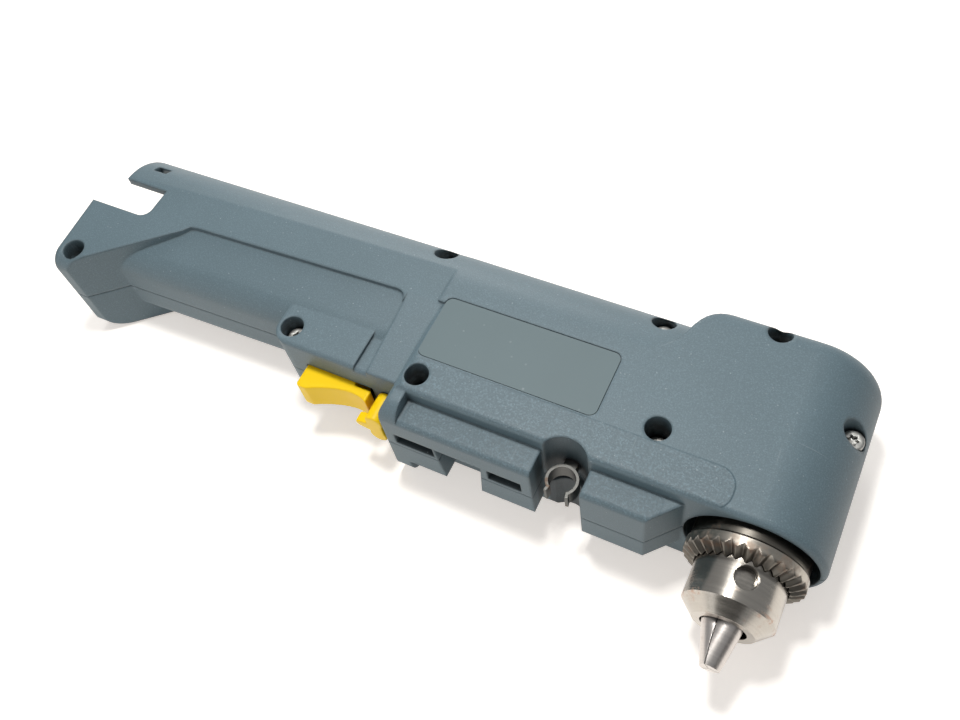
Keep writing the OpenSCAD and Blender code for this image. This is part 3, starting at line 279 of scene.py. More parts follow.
# soft mask over a rounded rectangle in plan, between two heights
def makeRoundedZone():
    ins = {
        "Centre": (0.0, 0.0, 0.0), "Half": (0.01, 0.01, 0.0), "Radius": 0.002, "Soft": 0.0003,
        "Low": 0.0, "High": 1.0,
    }
    tree, given, result = newGroup("roundedZone", ins, ("Mask",))
    spot = objectSpot(tree)
    away = vectorNode(tree, "ABSOLUTE", vectorNode(tree, "SUBTRACT", spot, given["Centre"]))
    inset = vectorNode(tree, "SUBTRACT", given["Half"], given["Radius"])
    corner = vectorNode(tree, "MAXIMUM", vectorNode(tree, "SUBTRACT", away, inset), (0.0, 0.0, 0.0))
    far = vectorNode(tree, "LENGTH", vectorNode(tree, "MULTIPLY", corner, (1.0, 1.0, 0.0)))
    edge = mathNode(tree, "SUBTRACT", far, given["Radius"])
    inside = stepUp(tree, mathNode(tree, "DIVIDE", edge, given["Soft"]), -1.0, 1.0, falling=True)
    height = splitAxes(tree, spot)["Z"]
    above = mathNode(tree, "GREATER_THAN", height, given["Low"])
    below = mathNode(tree, "LESS_THAN", height, given["High"])
    band = mathNode(tree, "MULTIPLY", above, below)
    feed(tree, result["Mask"], mathNode(tree, "MULTIPLY", inside, band))
    return tree


# painted shade, with patchy grime, where faces close in on each other
shadeAndGrimeSet = {"samples": 8, "patch": {"scale": 420.0, "detail": 3.0, "rough": 0.6}, "patchLevels": (0.2, 0.6)}


def makeCornerShadeAndGrime(s):
    ins = {"Distance": 0.003, "Low": 0.3, "High": 0.85}
    tree, given, result = newGroup("cornerShadeAndGrime", ins, ("Mask",))
    # ambient occlusion becomes a darkening mask: painted shade
    shut = addNode(tree, "ShaderNodeAmbientOcclusion", {"Distance": given["Distance"]}, samples=s["samples"])
    level = stepUp(tree, shut.outputs["AO"], given["Low"], given["High"], falling=True)
    patchy = stepUp(tree, noise(tree, objectSpot(tree), **s["patch"]), *s["patchLevels"])
    feed(tree, result["Mask"], mathNode(tree, "MULTIPLY", level, patchy))
    return tree


# patchy ring about the chuck axis, between two fading edges
bandSet = {"patch": {"detail": 5.0, "rough": 0.65}}


def makeAxisBand(s):
    ins = {"From": 0.0, "To": 0.001, "Fade": 0.0005, "Patch Scale": 90.0, "Patch Low": 0.4, "Patch High": 0.6}
    tree, given, result = newGroup("axisBand", ins, ("Mask",))
    spot = objectSpot(tree)
    along = splitAxes(tree, spot)["Y"]
    edges = []
    for start, end in ((given["From"], along), (along, given["To"])):
        depth = mathNode(tree, "DIVIDE", mathNode(tree, "SUBTRACT", end, start), given["Fade"])
        edges.append(stepUp(tree, depth, 0.0, 1.0))
    inside = mathNode(tree, "MULTIPLY", *edges)
    patches = noise(tree, spot, given["Patch Scale"], **s["patch"])
    patchy = stepUp(tree, patches, given["Patch Low"], given["Patch High"])
    feed(tree, result["Mask"], mathNode(tree, "MULTIPLY", inside, patchy))
    return tree


# soft mask inside a box of the row frame
def makeBoxZone():
    ins = {"Low": (0.0, 0.0, 0.0), "High": (0.01, 0.01, 0.01), "Fade": 0.0004}
    tree, given, result = newGroup("boxZone", ins, ("Mask",))
    spot = objectSpot(tree)
    mask = 1.0
    for start, end in ((given["Low"], spot), (spot, given["High"])):
        for depth in splitAxes(tree, vectorNode(tree, "SUBTRACT", end, start)):
            step = stepUp(tree, mathNode(tree, "DIVIDE", depth, given["Fade"]), 0.0, 1.0)
            mask = mathNode(tree, "MULTIPLY", mask, step)
    feed(tree, result["Mask"], mask)
    return tree


mouldGrain = makeMouldGrain(grainSet)
edgeRub = makeEdgeRub(rubSet)
handMarks = makeHandMarks(markSet)
turnedSteel = makeTurnedSteel(turnedSet)
rustBloom = makeRustBloom(bloomSet)
roundedZone = makeRoundedZone()
cornerShadeAndGrime = makeCornerShadeAndGrime(shadeAndGrimeSet)
axisBand = makeAxisBand(bandSet)
boxZone = makeBoxZone()
print("shader groups built")


def newMaterial(name):
    material = bpy.data.materials.new(name)
    material.use_nodes = True
    return material, material.node_tree, material.node_tree.nodes["Principled BSDF"]


def bumpInto(tree, shader, height, strength, distance, rounding=0.0):
    values = {"Strength": strength, "Distance": distance, "Height": height}
    if rounding:
        soft = addNode(tree, "ShaderNodeBevel", {"Radius": rounding}, samples=bevelSamples)
        values["Normal"] = soft.outputs[0]
    feed(tree, shader.inputs["Normal"], addNode(tree, "ShaderNodeBump", values).outputs[0])


# housing: blue grey glass filled plastic, lengths in metres
housingSet = {
    "colour": (0.113, 0.167, 0.195), "pale": (0.38, 0.43, 0.45), "rub": (0.25, 0.31, 0.34),
    "grimeAndShade": (0.028, 0.040, 0.045), "deep": (0.012, 0.016, 0.018), "rough": (0.44, 0.58),
    "cloudTints": (0.9, 1.1), "grain": 2400.0, "coarseGrain": 1600.0,
    "darkFleck": (0.4, 0.62), "darkTint": 0.35, "brightFleck": (0.56, 0.7), "brightTint": 1.9,
    "fleckShow": 0.2, "coarseShow": 0.1,  # the coarse texture shows more by this
    "crease": {"Distance": 0.0035, "Low": 0.2, "High": 0.75}, "creaseShare": 0.85,
    "bore": {"Distance": 0.014, "Low": 0.0, "High": 0.4}, "deepShare": 0.9,
    "slotMouth": 0.0012, "slotWall": 0.0007,
    "rubRadius": 0.0009, "rubShare": 0.3, "speckShare": 0.5, "markAmount": 0.55, "markShare": 0.35,
    "fleckDepth": 0.00004, "coarseDepth": 0.0001, "padRise": 0.00025, "bump": 0.8, "rounding": 0.0015,
}
coarseZones = {  # tool millimetres: corner, opposite corner, corner radius, lowest and highest face
    "lowerPad": ((-140.0, 4.0), (-9.0, 17.6), 6.0, (21.5, 23.0)),
    "rearBox": ((-109.0, -6.0), (-66.5, 4.2), 1.5, (15.5, 17.5)),
    "frontBox": ((-48.0, -6.0), (-26.0, 4.2), 1.5, (15.5, 17.5)),
}
# the clip's well gets painted shade
clipWell = {  # tool millimetres, and how dark its rim is and how much darker its floor
    "at": (-57.0, 1.3), "radius": 8.2, "floor": 4.0, "rim": 21.6, "rimShade": 0.45, "floorShade": 0.4,
}


def coarseMask(tree, zone):
    (x0, y0), (x1, y1), radius, (bottom, top) = zone
    return useGroup(tree, roundedZone, {
        "Centre": place((x0 + x1) / 2, (y0 + y1) / 2, 0),
        "Half": ((x1 - x0) / 2 * mm, (y1 - y0) / 2 * mm, 0.0),
        "Radius": radius * mm, "Low": heightAt(bottom), "High": heightAt(top),
    })["Mask"]


# painted shade inside the key slots
def slotMasks(tree, s):  # inside each key slot, behind its mouth
    wall = Vector((s["slotWall"],) * 3)
    mouth = Vector((0, s["slotMouth"] + s["slotWall"], 0))
    masks = []
    for opening in frame["record"]["physics"]["openings"]:
        if opening["name"].endswith("key_slot"):
            low, high = (Vector(corner) for corner in opening["box_m"])
            masks.append(useGroup(tree, boxZone, {"Low": low - wall + mouth, "High": high + wall})["Mask"])
    return masks


# painted shade in the clip's well
def wellMask(tree, s):  # round the clip, darker towards the floor
    radius = s["radius"] * mm
    well = useGroup(tree, roundedZone, {
        "Centre": place(*s["at"], 0), "Half": (radius, radius, 0.0), "Radius": radius,
        "High": heightAt(s["rim"]),
    })["Mask"]
    height = splitAxes(tree, objectSpot(tree))["Z"]
    sunk = stepUp(tree, height, heightAt(s["floor"]), heightAt(s["rim"]), falling=True)
    shade = mathNode(tree, "MULTIPLY_ADD", sunk, s["floorShade"], s["rimShade"])
    return mathNode(tree, "MULTIPLY", well, shade)


def largest(tree, masks):
    top = masks[0]
    for mask in masks[1:]:
        top = mathNode(tree, "MAXIMUM", top, mask)
    return top


def makeHousingPlastic(s):
    material, tree, shader = newMaterial("housingPlastic")
    grain = useGroup(tree, mouldGrain, {"Scale": s["grain"]})
    coarse = useGroup(tree, mouldGrain, {"Scale": s["coarseGrain"]})
    masks = {name: coarseMask(tree, zone) for name, zone in coarseZones.items()}
    zone = largest(tree, list(masks.values()))
    values = {0: zone, 2: grain["Height"], 3: coarse["Height"]}  # the mix node's number sockets
    fleck = addNode(tree, "ShaderNodeMix", values, data_type="FLOAT").outputs[0]
    show = mathNode(tree, "MULTIPLY_ADD", zone, s["coarseShow"], s["fleckShow"])
    base = mixColour(tree, grain["Cloud"], *tints(s["colour"], s["cloudTints"]))
    dark = stepUp(tree, fleck, *s["darkFleck"], falling=True)
    base = paintOver(tree, base, dark, show, tint(s["colour"], s["darkTint"]))
    bright = stepUp(tree, fleck, *s["brightFleck"])
    base = paintOver(tree, base, bright, show, tint(s["colour"], s["brightTint"]))
    # painted shade and grime in the creases, near black blue
    crease = useGroup(tree, cornerShadeAndGrime, s["crease"])["Mask"]
    base = paintOver(tree, base, crease, s["creaseShare"], tint(s["grimeAndShade"]))
    # painted shade, near black, deep in the bores, the key slots and the clip's well
    bore = useGroup(tree, cornerShadeAndGrime, s["bore"])["Mask"]
    shut = largest(tree, [bore, *slotMasks(tree, s), wellMask(tree, clipWell)])
    base = paintOver(tree, base, shut, s["deepShare"], tint(s["deep"]))
    rub = useGroup(tree, edgeRub, {"Radius": s["rubRadius"]})["Mask"]
    base = paintOver(tree, base, rub, s["rubShare"], tint(s["rub"]))
    base = paintOver(tree, base, grain["Speck"], s["speckShare"], tint(s["pale"]))
    marks = useGroup(tree, handMarks, {"Amount": s["markAmount"]})["Mask"]
    base = paintOver(tree, base, marks, s["markShare"], tint(s["pale"]))
    feed(tree, shader.inputs["Base Color"], base)
    feed(tree, shader.inputs["Roughness"], between(tree, grain["Cloud"], *s["rough"]))
    depth = mathNode(tree, "MULTIPLY_ADD", zone, s["coarseDepth"], s["fleckDepth"])
    height = mathNode(tree, "MULTIPLY", fleck, depth)
    height = mathNode(tree, "MULTIPLY_ADD", masks["lowerPad"], s["padRise"], height)
    bumpInto(tree, shader, height, s["bump"], 1.0, s["rounding"])  # height is in metres already
    return material


# bare name plate: smooth satin skin
plateSet = {
    "colour": (0.106, 0.151, 0.164), "pale": (0.34, 0.38, 0.39), "rough": 0.55, "cloudTints": (0.94, 1.08),
    "grain": 5200.0, "speck": 380.0, "speckShare": 0.4, "markAmount": 0.8, "markShare": 0.5,
    "bump": 0.12, "depth": 0.00005,
}


def makePlateSkin(s):
    material, tree, shader = newMaterial("plateSkin")
    grain = useGroup(tree, mouldGrain, {"Scale": s["grain"], "Speck Scale": s["speck"]})
    marks = useGroup(tree, handMarks, {"Amount": s["markAmount"]})["Mask"]
    base = mixColour(tree, grain["Cloud"], *tints(s["colour"], s["cloudTints"]))
    base = paintOver(tree, base, marks, s["markShare"], tint(s["pale"]))
    base = paintOver(tree, base, grain["Speck"], s["speckShare"], tint(s["pale"]))
    feed(tree, shader.inputs["Base Color"], base)
    shader.inputs["Roughness"].default_value = s["rough"]
    bumpInto(tree, shader, grain["Height"], s["bump"], s["depth"])
    return material


# trigger and lever: yellow moulding with painted shade and grime in its corners
controlSet = {
    "colour": (1.0, 0.66, 0.006), "deep": (0.66, 0.28, 0.006), "grimeAndShade": (0.30, 0.13, 0.02),
    "rough": (0.32, 0.46), "specular": 0.25, "grain": 1500.0, "speck": 500.0, "speckShare": 0.5,
    "cloudLevels": (0.35, 0.75), "cloudTints": (1.0, 0.93),
    "corner": {"Distance": 0.003, "Low": 0.25, "High": 0.8}, "cornerShare": 0.45,
    "bump": 0.1, "depth": 0.00006, "rounding": 0.0008,
}


def makeControlPlastic(s):
    material, tree, shader = newMaterial("controlPlastic")
    grain = useGroup(tree, mouldGrain, {"Scale": s["grain"], "Speck Scale": s["speck"]})
    cloud = stepUp(tree, grain["Cloud"], *s["cloudLevels"])
    base = mixColour(tree, cloud, *tints(s["colour"], s["cloudTints"]))
    # painted shade and grime, darker yellow, in the corners
    corner = useGroup(tree, cornerShadeAndGrime, s["corner"])["Mask"]
    base = paintOver(tree, base, corner, s["cornerShare"], tint(s["deep"]))
    base = paintOver(tree, base, grain["Speck"], s["speckShare"], tint(s["grimeAndShade"]))
    feed(tree, shader.inputs["Base Color"], base)
    feed(tree, shader.inputs["Roughness"], between(tree, grain["Cloud"], *s["rough"]))
    shader.inputs["Specular IOR Level"].default_value = s["specular"]
    bumpInto(tree, shader, grain["Height"], s["bump"], s["depth"], s["rounding"])
    return material


# turned chuck steel, lightly rusted, and the other metals
# rust bands, and grease bands that also carry painted shade, are along the chuck axis in tool millimetres:
# from, to, fade and level
steelSets = {
    "chuckSteel": {
        "colour": (0.50, 0.47, 0.425), "rust": (0.46, 0.16, 0.045), "rough": (0.15, 0.3),
        "bloom": 0.14, "ring": 0.22, "grimeAndShade": (0.022, 0.018, 0.014), "deep": 0.005,
        "rustBands": ((-15.8, -13.4, 0.8, 0.6), (-12.5, -10.8, 1.2, 0.25)),
        "greaseAndShadeBands": ((-5.2, -3.0, 1.0, 0.5),)},
    "sleeveSteel": {
        "colour": (0.44, 0.41, 0.36), "rust": (0.17, 0.075, 0.03), "rough": (0.22, 0.42),
        "bloom": 0.45, "ring": 0.16, "grimeAndShade": (0.022, 0.018, 0.014), "deep": 0.0028,
        "rustBands": ((-3.0, 3.0, 1.5, 0.45),),
        # the upper band is painted shade and grease, where the sleeve runs into the housing
        "greaseAndShadeBands": ((1.9, 16.0, 0.5, 0.58), (-4.2, -0.2, 1.2, 0.66))},
    "jawSteel": {
        "colour": (0.66, 0.62, 0.59), "rust": (0.25, 0.12, 0.06), "rough": (0.28, 0.42),
        "bloom": 0.15, "ring": 0.1, "grimeAndShade": (0.035, 0.03, 0.024), "deep": 0.0012},
    "clipSteel": {
        "colour": (0.105, 0.105, 0.10), "rust": (0.20, 0.11, 0.06), "rough": (0.36, 0.55),
        "bloom": 0.6, "ring": 0.08, "grimeAndShade": (0.03, 0.027, 0.022), "deep": 0.002},
    "screwZinc": {
        "colour": (0.46, 0.46, 0.44), "rust": (0.25, 0.16, 0.09), "rough": (0.42, 0.6),
        "bloom": 0.3, "ring": 0.1, "grimeAndShade": (0.02, 0.02, 0.018), "deep": 0.0014},
    "gearSteel": {
        "colour": (0.33, 0.33, 0.34), "rust": (0.10, 0.075, 0.04), "rough": (0.25, 0.4),
        "bloom": 0.6, "ring": 0.12, "grimeAndShade": (0.03, 0.026, 0.018), "deep": 0.0016},
    "canSteel": {
        "colour": (0.48, 0.48, 0.47), "rust": (0.20, 0.15, 0.10), "rough": (0.3, 0.5),
        "bloom": 0.3, "ring": 0.1, "grimeAndShade": (0.035, 0.03, 0.024), "deep": 0.0016},
    "coreSteel": {
        "colour": (0.18, 0.18, 0.19), "rust": (0.14, 0.08, 0.05), "rough": (0.4, 0.6),
        "bloom": 0.5, "ring": 0.3, "grimeAndShade": (0.035, 0.03, 0.024), "deep": 0.0016},
    "contactBrass": {
        "colour": (0.72, 0.50, 0.18), "rust": (0.20, 0.12, 0.05), "rough": (0.25, 0.45),
        "bloom": 0.4, "ring": 0.06, "grimeAndShade": (0.035, 0.03, 0.024), "deep": 0.0016},
    "leadCopper": {
        "colour": (0.75, 0.36, 0.17), "rust": (0.16, 0.08, 0.05), "rough": (0.28, 0.5),
        "bloom": 0.4, "ring": 0.1, "grimeAndShade": (0.035, 0.03, 0.024), "deep": 0.0016},
}
steelWear = {  # what all metals share
    "streakTints": (0.86, 1.12), "rubRadius": 0.0005, "rubShare": 0.5, "rubTint": 1.35,
    "dirtAndShade": {"Low": 0.2, "High": 0.75}, "dirtAndShadeShare": 0.8, "rustTints": (0.7, 1.6),
    "rustPatch": {"Patch Scale": 190.0, "Patch Low": 0.48, "Patch High": 0.68},
    "greaseAndShadePatch": {"Patch Low": 0.1, "Patch High": 0.45},
    "rustMetal": -0.75, "rustRough": 0.35, "rustRise": 0.6, "depth": 0.00003, "rounding": 0.00025,
}


def bandMask(tree, low, high, fade, patch):
    values = {"From": alongAt(low), "To": alongAt(high), "Fade": fade * mm}
    return useGroup(tree, axisBand, {**values, **patch})["Mask"]


def makeSteel(name, s, wear):
    material, tree, shader = newMaterial(name)
    turned = useGroup(tree, turnedSteel)
    rust = useGroup(tree, rustBloom, {"Amount": s["bloom"]})
    base = mixColour(tree, turned["Streak"], *tints(s["colour"], wear["streakTints"]))
    rub = useGroup(tree, edgeRub, {"Radius": wear["rubRadius"]})["Mask"]
    base = paintOver(tree, base, rub, wear["rubShare"], tint(s["colour"], wear["rubTint"]))
    # painted shade and dirt in the hollows, such as between the sleeve's teeth
    dirtAndShade = useGroup(tree, cornerShadeAndGrime, {"Distance": s["deep"], **wear["dirtAndShade"]})["Mask"]
    base = paintOver(tree, base, dirtAndShade, wear["dirtAndShadeShare"], tint(s["grimeAndShade"]))
    # painted shade and grease in bands along the axis
    for low, high, fade, level in s.get("greaseAndShadeBands", ()):
        greaseAndShade = bandMask(tree, low, high, fade, wear["greaseAndShadePatch"])
        base = paintOver(tree, base, greaseAndShade, level, tint(s["grimeAndShade"]))
    rusted = rust["Mask"]
    for low, high, fade, level in s.get("rustBands", ()):
        band = bandMask(tree, low, high, fade, wear["rustPatch"])
        rusted = mathNode(tree, "MAXIMUM", rusted, mathNode(tree, "MULTIPLY", band, level))
    redder = mixColour(tree, rust["Tone"], *tints(s["rust"], wear["rustTints"]))
    feed(tree, shader.inputs["Base Color"], mixColour(tree, rusted, base, redder))
    feed(tree, shader.inputs["Metallic"], mathNode(tree, "MULTIPLY_ADD", rusted, wear["rustMetal"], 1.0))
    rough = between(tree, turned["Streak"], *s["rough"])
    rough = mathNode(tree, "MULTIPLY_ADD", rusted, wear["rustRough"], rough, clamp=True)
    feed(tree, shader.inputs["Roughness"], rough)
    height = mathNode(tree, "MULTIPLY_ADD", rusted, wear["rustRise"], turned["Height"])
    bumpInto(tree, shader, height, s["ring"], wear["depth"], wear["rounding"])
    return material


# dark inner plastics and carbon
darkSets = {
    "blackPlastic": {"colour": (0.020, 0.021, 0.023), "rough": 0.5},
    "magnetBlack": {"colour": (0.035, 0.034, 0.034), "rough": 0.6},
    "carbonBlack": {"colour": (0.022, 0.021, 0.021), "rough": 0.7},
    "windingEnamel": {"colour": (0.34, 0.12, 0.04), "rough": 0.3},
}
darkWear = {
    "grain": 1800.0, "cloudTints": (0.7, 1.4), "speck": (0.2, 0.2, 0.2), "speckShare": 0.2,
    "bump": 0.25, "depth": 0.0001,
}


def makeDark(name, s, wear):
    material, tree, shader = newMaterial(name)
    grain = useGroup(tree, mouldGrain, {"Scale": wear["grain"]})
    base = mixColour(tree, grain["Cloud"], *tints(s["colour"], wear["cloudTints"]))
    base = paintOver(tree, base, grain["Speck"], wear["speckShare"], tint(wear["speck"]))
    feed(tree, shader.inputs["Base Color"], base)
    shader.inputs["Roughness"].default_value = s["rough"]
    bumpInto(tree, shader, grain["Height"], wear["bump"], wear["depth"])
    return material


finishes = {
    "housingPlastic": makeHousingPlastic(housingSet),
    "plateSkin": makePlateSkin(plateSet),
    "controlPlastic": makeControlPlastic(controlSet),
}
for steelName, steelSet in steelSets.items():
    finishes[steelName] = makeSteel(steelName, steelSet, steelWear)
for darkName, darkSet in darkSets.items():
    finishes[darkName] = makeDark(darkName, darkSet, darkWear)
print("finishes made:", len(finishes))

nodeFinish = {
    "housingPlastic": ("upper_housing", "lower_housing"),
    "plateSkin": ("name_plate",),
    "controlPlastic": ("trigger", "reverse_lever"),
    "chuckSteel": ("chuck_body",),
    "sleeveSteel": ("chuck_sleeve",),
    "jawSteel": ("chuck_jaw_1", "chuck_jaw_2", "chuck_jaw_3"),
    "clipSteel": ("key_clip",),
    "screwZinc": ("housing_screws", "chuck_screw"),
    "gearSteel": ("motor_shaft", "sun_pinion", "ring_gear", "planet_gear_1", "planet_gear_2", "planet_gear_3",
                  "planet_carrier", "bevel_pinion", "crown_gear", "spindle", "spindle_circlip", "chuck_nut"),
    "canSteel": ("motor_can", "pinion_bearing", "spindle_bearing"),
    "coreSteel": ("armature_core",),
    "contactBrass": ("contact_blades", "spindle_bush"),
    "leadCopper": ("supply_leads", "motor_leads", "commutator"),
    "windingEnamel": ("armature_windings",),
    "blackPlastic": ("trigger_switch", "contact_block", "motor_end_cap", "motor_fan"),
    "magnetBlack": ("motor_magnets",),
    "carbonBlack": ("carbon_brushes",),
}
for finish, names in nodeFinish.items():
    for name in names:
        mesh = nodes[name].data
        mesh.materials.clear()
        mesh.materials.append(finishes[finish])
print("finishes placed")

# moulded softness of the two yellow controls
softSet = {"nodes": ("trigger", "reverse_lever"), "voxel": 0.00032, "factor": 0.5, "rounds": 7}
for name in softSet["nodes"]:
    remesh = nodes[name].modifiers.new("even", "REMESH")
    remesh.mode = "VOXEL"
    remesh.voxel_size = softSet["voxel"]
    remesh.use_smooth_shade = True
    soften = nodes[name].modifiers.new("soften", "SMOOTH")
    soften.factor = softSet["factor"]
    soften.iterations = softSet["rounds"]
print("controls softened")


# piece helpers
def ringFaces(bm, rings):  # joins rings of equal count
    for low, high in zip(rings, rings[1:]):
        for i in range(len(low)):
            j = (i + 1) % len(low)
            bm.faces.new((low[i], low[j], high[j], high[i]))


def meshPiece(bm, name, finish, sharp):
    bmesh.ops.recalc_face_normals(bm, faces=bm.faces)
    mesh = bpy.data.meshes.new(name)
    bm.to_mesh(mesh)
    bm.free()
    mesh.shade_smooth()
    mesh.set_sharp_from_angle(angle=math.radians(sharp))
    mesh.materials.append(finishes[finish])
    piece = bpy.data.objects.new(name, mesh)
    scene.collection.objects.link(piece)
    return piece


# housing screws with star sockets, deep in their counterbores, in tool millimetres
screwSet = {
    "segments": 72, "sharp": 40, "seat": 8.0, "end": -11.0, "tipShare": 0.4, "tipLength": 1.2,
    "shankRadius": 2.0, "threadStart": 1.6, "threadDepth": 0.35, "threadPitch": 1.4,
    "headRadius": 3.5, "headHeight": 2.6, "lip": 0.35,
    "crownShares": ((0.0, 2.0), (0.3, 1.0), (1.0, 0.4), (2.0, 0.1)),  # of the lip: inwards and down
    "lobes": 6, "lobeDepth": 0.3, "socketRadius": 1.5, "socketRim": 0.25,
    "socketSteps": ((0.0, 0.12), (0.08, 0.3), (0.12, 1.5)),  # inwards and down
    "floorShare": 0.45, "floorDepth": 1.75,
}
screwPlaces = (
    (-252.0, 11.5), (-160.4, 14.7), (-125.0, 60.0), (-109.9, 11.5),
    (-47.0, 60.0), (-35.0, 21.9), (-12.6, 66.7), (16.5, 45.5),
)


def addScrew(bm, s, x, y):
    turns = [2 * math.pi * i / s["segments"] for i in range(s["segments"])]
    shank, head, lip = s["shankRadius"], s["headRadius"], s["lip"]
    core = shank - s["threadDepth"]
    top = s["seat"] + s["headHeight"]

    def ring(radius, z, lobe=0.0):
        points = []
        for turn in turns:
            reach = radius + lobe * math.cos(s["lobes"] * turn)
            points.append(bm.verts.new(place(x + reach * math.cos(turn), y + reach * math.sin(turn), z)))
        return points

    rings = [ring(shank * s["tipShare"], s["end"]), ring(core, s["end"] + s["tipLength"])]
    z = s["end"] + s["threadStart"]
    while z < s["seat"] - s["threadPitch"]:
        rings.append(ring(shank, z))
        rings.append(ring(core, z + s["threadPitch"] / 2))
        z += s["threadPitch"]
    rings += [ring(shank, s["seat"]), ring(head - lip / 2, s["seat"]), ring(head, s["seat"] + lip / 2)]
    rings += [ring(head - inwards * lip, top - down * lip) for inwards, down in s["crownShares"]]
    rings.append(ring(s["socketRadius"] + s["lobeDepth"] + s["socketRim"], top))
    for inwards, down in s["socketSteps"]:
        rings.append(ring(s["socketRadius"] - inwards, top - down, s["lobeDepth"]))
    rings.append(ring(s["socketRadius"] * s["floorShare"], top - s["floorDepth"]))
    ringFaces(bm, rings)
    bm.faces.new(tuple(reversed(rings[0])))
    bm.faces.new(tuple(rings[-1]))


def makeScrews(s):
    bm = bmesh.new()
    for x, y in screwPlaces:
        addScrew(bm, s, x, y)
    piece = meshPiece(bm, "starScrews", "screwZinc", s["sharp"])
    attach(piece, "housing")
    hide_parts("housing_screws")


makeScrews(screwSet)
print("screws made")

# chuck sleeve with a ring of bevel teeth, in tool millimetres
sleeveSet = {
    "teeth": 30, "columns": 14, "sharp": 24, "radius": 18.0, "rim": -1.4, "footRadius": 14.6, "foot": -3.5,
    "bore": 13.9, "nutFloor": -1.3, "nutRadius": 15.23, "nutTop": 4.0, "room": 16.8,
    "top": sleeveTop, "topIn": 0.5, "band": 2.0, "bandIn": 0.6,
    "rootTop": 0.0, "rootEnd": -2.4, "rootHalf": 0.1, "flank": 1.05, "innerSlope": 0.6,
    "rowShares": (0.0, 0.05, 0.1, 0.149, 0.25, 0.4, 0.6, 0.8, 1.0),  # of the way down a root
}


def toothPoint(s, share, turn):  # on the toothed cone, a share of the way down and a turn from a root
    along = Vector((s["bore"] - s["radius"], s["rootEnd"] - s["rootTop"]))
    out = Vector((-along.y, along.x)).normalized()
    root = Vector((s["radius"], s["rootTop"])) + along * share
    cone = Vector((s["footRadius"] - s["radius"], s["foot"] - s["rim"]))
    coneOut = Vector((-cone.y, cone.x)).normalized()
    room = min((s["radius"] - root.x) / out.x, (s["foot"] - root.y) / out.y,
               coneOut.dot(Vector((s["radius"], s["rim"])) - root) / coneOut.dot(out))
    rise = max(0.0, (root.x * turn - s["rootHalf"]) / s["flank"])
    return root + out * min(rise, room)


def makeSleeve(s):
    bm = bmesh.new()
    count = s["teeth"] * s["columns"]
    pitch = 2 * math.pi / s["teeth"]
    body = s["radius"] - s["bandIn"]
    plain = [
        (s["bore"], s["nutFloor"]), (s["nutRadius"], s["nutFloor"]), (s["nutRadius"], s["nutTop"]),
        (s["room"], s["nutTop"]), (s["room"], s["top"]),
        (body - s["topIn"], s["top"]), (body, s["top"] - s["topIn"]), (body, s["band"] + s["bandIn"]),
        (s["radius"], s["band"]), (s["radius"], (s["band"] + s["rootTop"]) / 2),
    ]
    rings = [[] for row in range(len(plain) + len(s["rowShares"]) + 1)]
    for column in range(count):
        angle = 2 * math.pi * column / count
        turn = abs((angle + pitch / 2) % pitch - pitch / 2)
        teeth = [toothPoint(s, share, turn) for share in s["rowShares"]]
        inner = teeth[-1]
        innerEnd = max(s["foot"], inner.y - (inner.x - s["bore"]) * s["innerSlope"])
        for ring, (radius, y) in zip(rings, [*plain, *teeth, (s["bore"], innerEnd)]):
            ring.append(bm.verts.new(place(radius * math.cos(angle), y, radius * math.sin(angle))))
    ringFaces(bm, rings + rings[:1])
    piece = meshPiece(bm, "toothedSleeve", "sleeveSteel", s["sharp"])
    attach(piece, "sleeve")
    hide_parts("chuck_sleeve")


makeSleeve(sleeveSet)
print("sleeve made")


# stage helpers
def flatSheet(name, width, depth, material):
    x, y = width / 2, depth / 2
    mesh = bpy.data.meshes.new(name)
    mesh.from_pydata([(-x, -y, 0), (x, -y, 0), (x, y, 0), (-x, y, 0)], [], [(0, 1, 2, 3)])
    mesh.materials.append(material)
    sheet = bpy.data.objects.new(name, mesh)
    scene.collection.objects.link(sheet)
    return sheet


def aimed(start, aim, axis):  # the turn that points an object's axis at a place
    return (Vector(aim) - Vector(start)).to_track_quat(axis, "Y").to_euler()


# pale floor that keeps the drill's shadow
floorSet = {
    "size": 3.0, "drop": 0.0002, "colour": (0.88, 0.86, 0.83), "rough": 0.75,
    "cloud": {"scale": 3.0, "detail": 3.0}, "cloudTints": (0.985, 1.015),
    "lift": 0.48, "liftTone": (1.0, 0.935, 0.885),
}


def makeFloor(s):
    material, tree, shader = newMaterial("paleFloor")
    cloud = noise(tree, objectSpot(tree), **s["cloud"])
    feed(tree, shader.inputs["Base Color"], mixColour(tree, cloud, *tints(s["colour"], s["cloudTints"])))
    shader.inputs["Roughness"].default_value = s["rough"]
    path = addNode(tree, "ShaderNodeLightPath").outputs
    seen = largest(tree, [path["Is Camera Ray"], path["Is Glossy Ray"], path["Is Transmission Ray"]])
    shader.inputs["Emission Color"].default_value = tint(s["liftTone"])
    feed(tree, shader.inputs["Emission Strength"], mathNode(tree, "MULTIPLY", seen, s["lift"]))
    floor = flatSheet("floor", s["size"], s["size"], material)
    floor.location.z = -s["drop"]


makeFloor(floorSet)

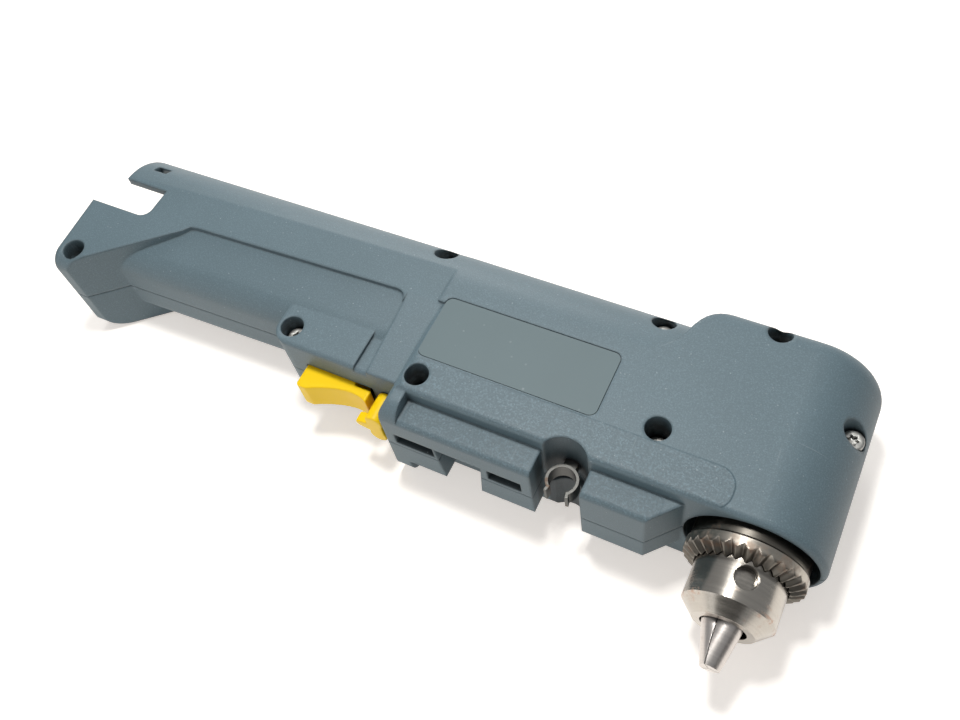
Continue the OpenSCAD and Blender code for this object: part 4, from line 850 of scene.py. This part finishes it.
# light from above, a weaker one from behind and a weak fill from the front, in row metres
lampAim = (0.03, 0.0, 0.02)
lampSets = {
    "keyLight": {"at": (-0.02, 0.065, 0.56), "size": 0.08, "power": 2.1, "tone": (1.0, 0.985, 0.96)},
    "backLight": {"at": (-0.32, 0.8, 0.42), "size": 0.4, "power": 3.2, "tone": (1.0, 0.99, 0.97)},
    "fillLight": {"at": (-0.4, -0.9, 0.5), "size": 1.0, "power": 2.6, "tone": (1.0, 0.98, 0.95)},
}


def addLamp(name, s):
    data = bpy.data.lights.new(name, "AREA")
    data.size = s["size"]
    data.energy = s["power"]
    data.color = s["tone"]
    lamp = bpy.data.objects.new(name, data)
    lamp.location = s["at"]
    lamp.rotation_euler = aimed(s["at"], lampAim, "-Z")
    scene.collection.objects.link(lamp)


for lampName, lampSet in lampSets.items():
    addLamp(lampName, lampSet)

# dark cards beside the camera, seen in reflections alone, in row metres
cardAim = (0.11, -0.02, 0.02)
cardSets = {
    "frontCard": {"at": (0.10, -0.55, 0.22), "size": (0.5, 0.26)},
    "sideCard": {"at": (0.62, -0.12, 0.2), "size": (0.3, 0.3)},
}
clothSet = {"dark": (0.05, 0.05, 0.05), "pale": (0.09, 0.09, 0.09), "weave": {"scale": 60.0}, "rough": 0.9}


def makeCardCloth(s):
    material, tree, shader = newMaterial("cardCloth")
    weave = noise(tree, objectSpot(tree), **s["weave"])
    feed(tree, shader.inputs["Base Color"], mixColour(tree, weave, tint(s["dark"]), tint(s["pale"])))
    shader.inputs["Roughness"].default_value = s["rough"]
    return material


def addCard(name, s, material):
    card = flatSheet(name, *s["size"], material)
    card.location = s["at"]
    card.rotation_euler = aimed(s["at"], cardAim, "Z")
    card.visible_camera = False
    card.visible_diffuse = False
    card.visible_shadow = False


cardCloth = makeCardCloth(clothSet)
for cardName, cardSet in cardSets.items():
    addCard(cardName, cardSet, cardCloth)

# world that is white behind the floor and weaker as a light
worldSet = {"colour": (0.97, 0.985, 1.0), "strength": 0.31}


def makeWorld(s):
    world = bpy.data.worlds.new("studio")
    world.use_nodes = True
    tree = world.node_tree
    background = tree.nodes["Background"]
    background.inputs["Color"].default_value = tint(s["colour"])
    seen = addNode(tree, "ShaderNodeLightPath").outputs["Is Camera Ray"]
    feed(tree, background.inputs["Strength"], mathNode(tree, "MAXIMUM", seen, s["strength"]))
    scene.world = world


makeWorld(worldSet)
scene.view_settings.view_transform = "Standard"
print("stage and light set")
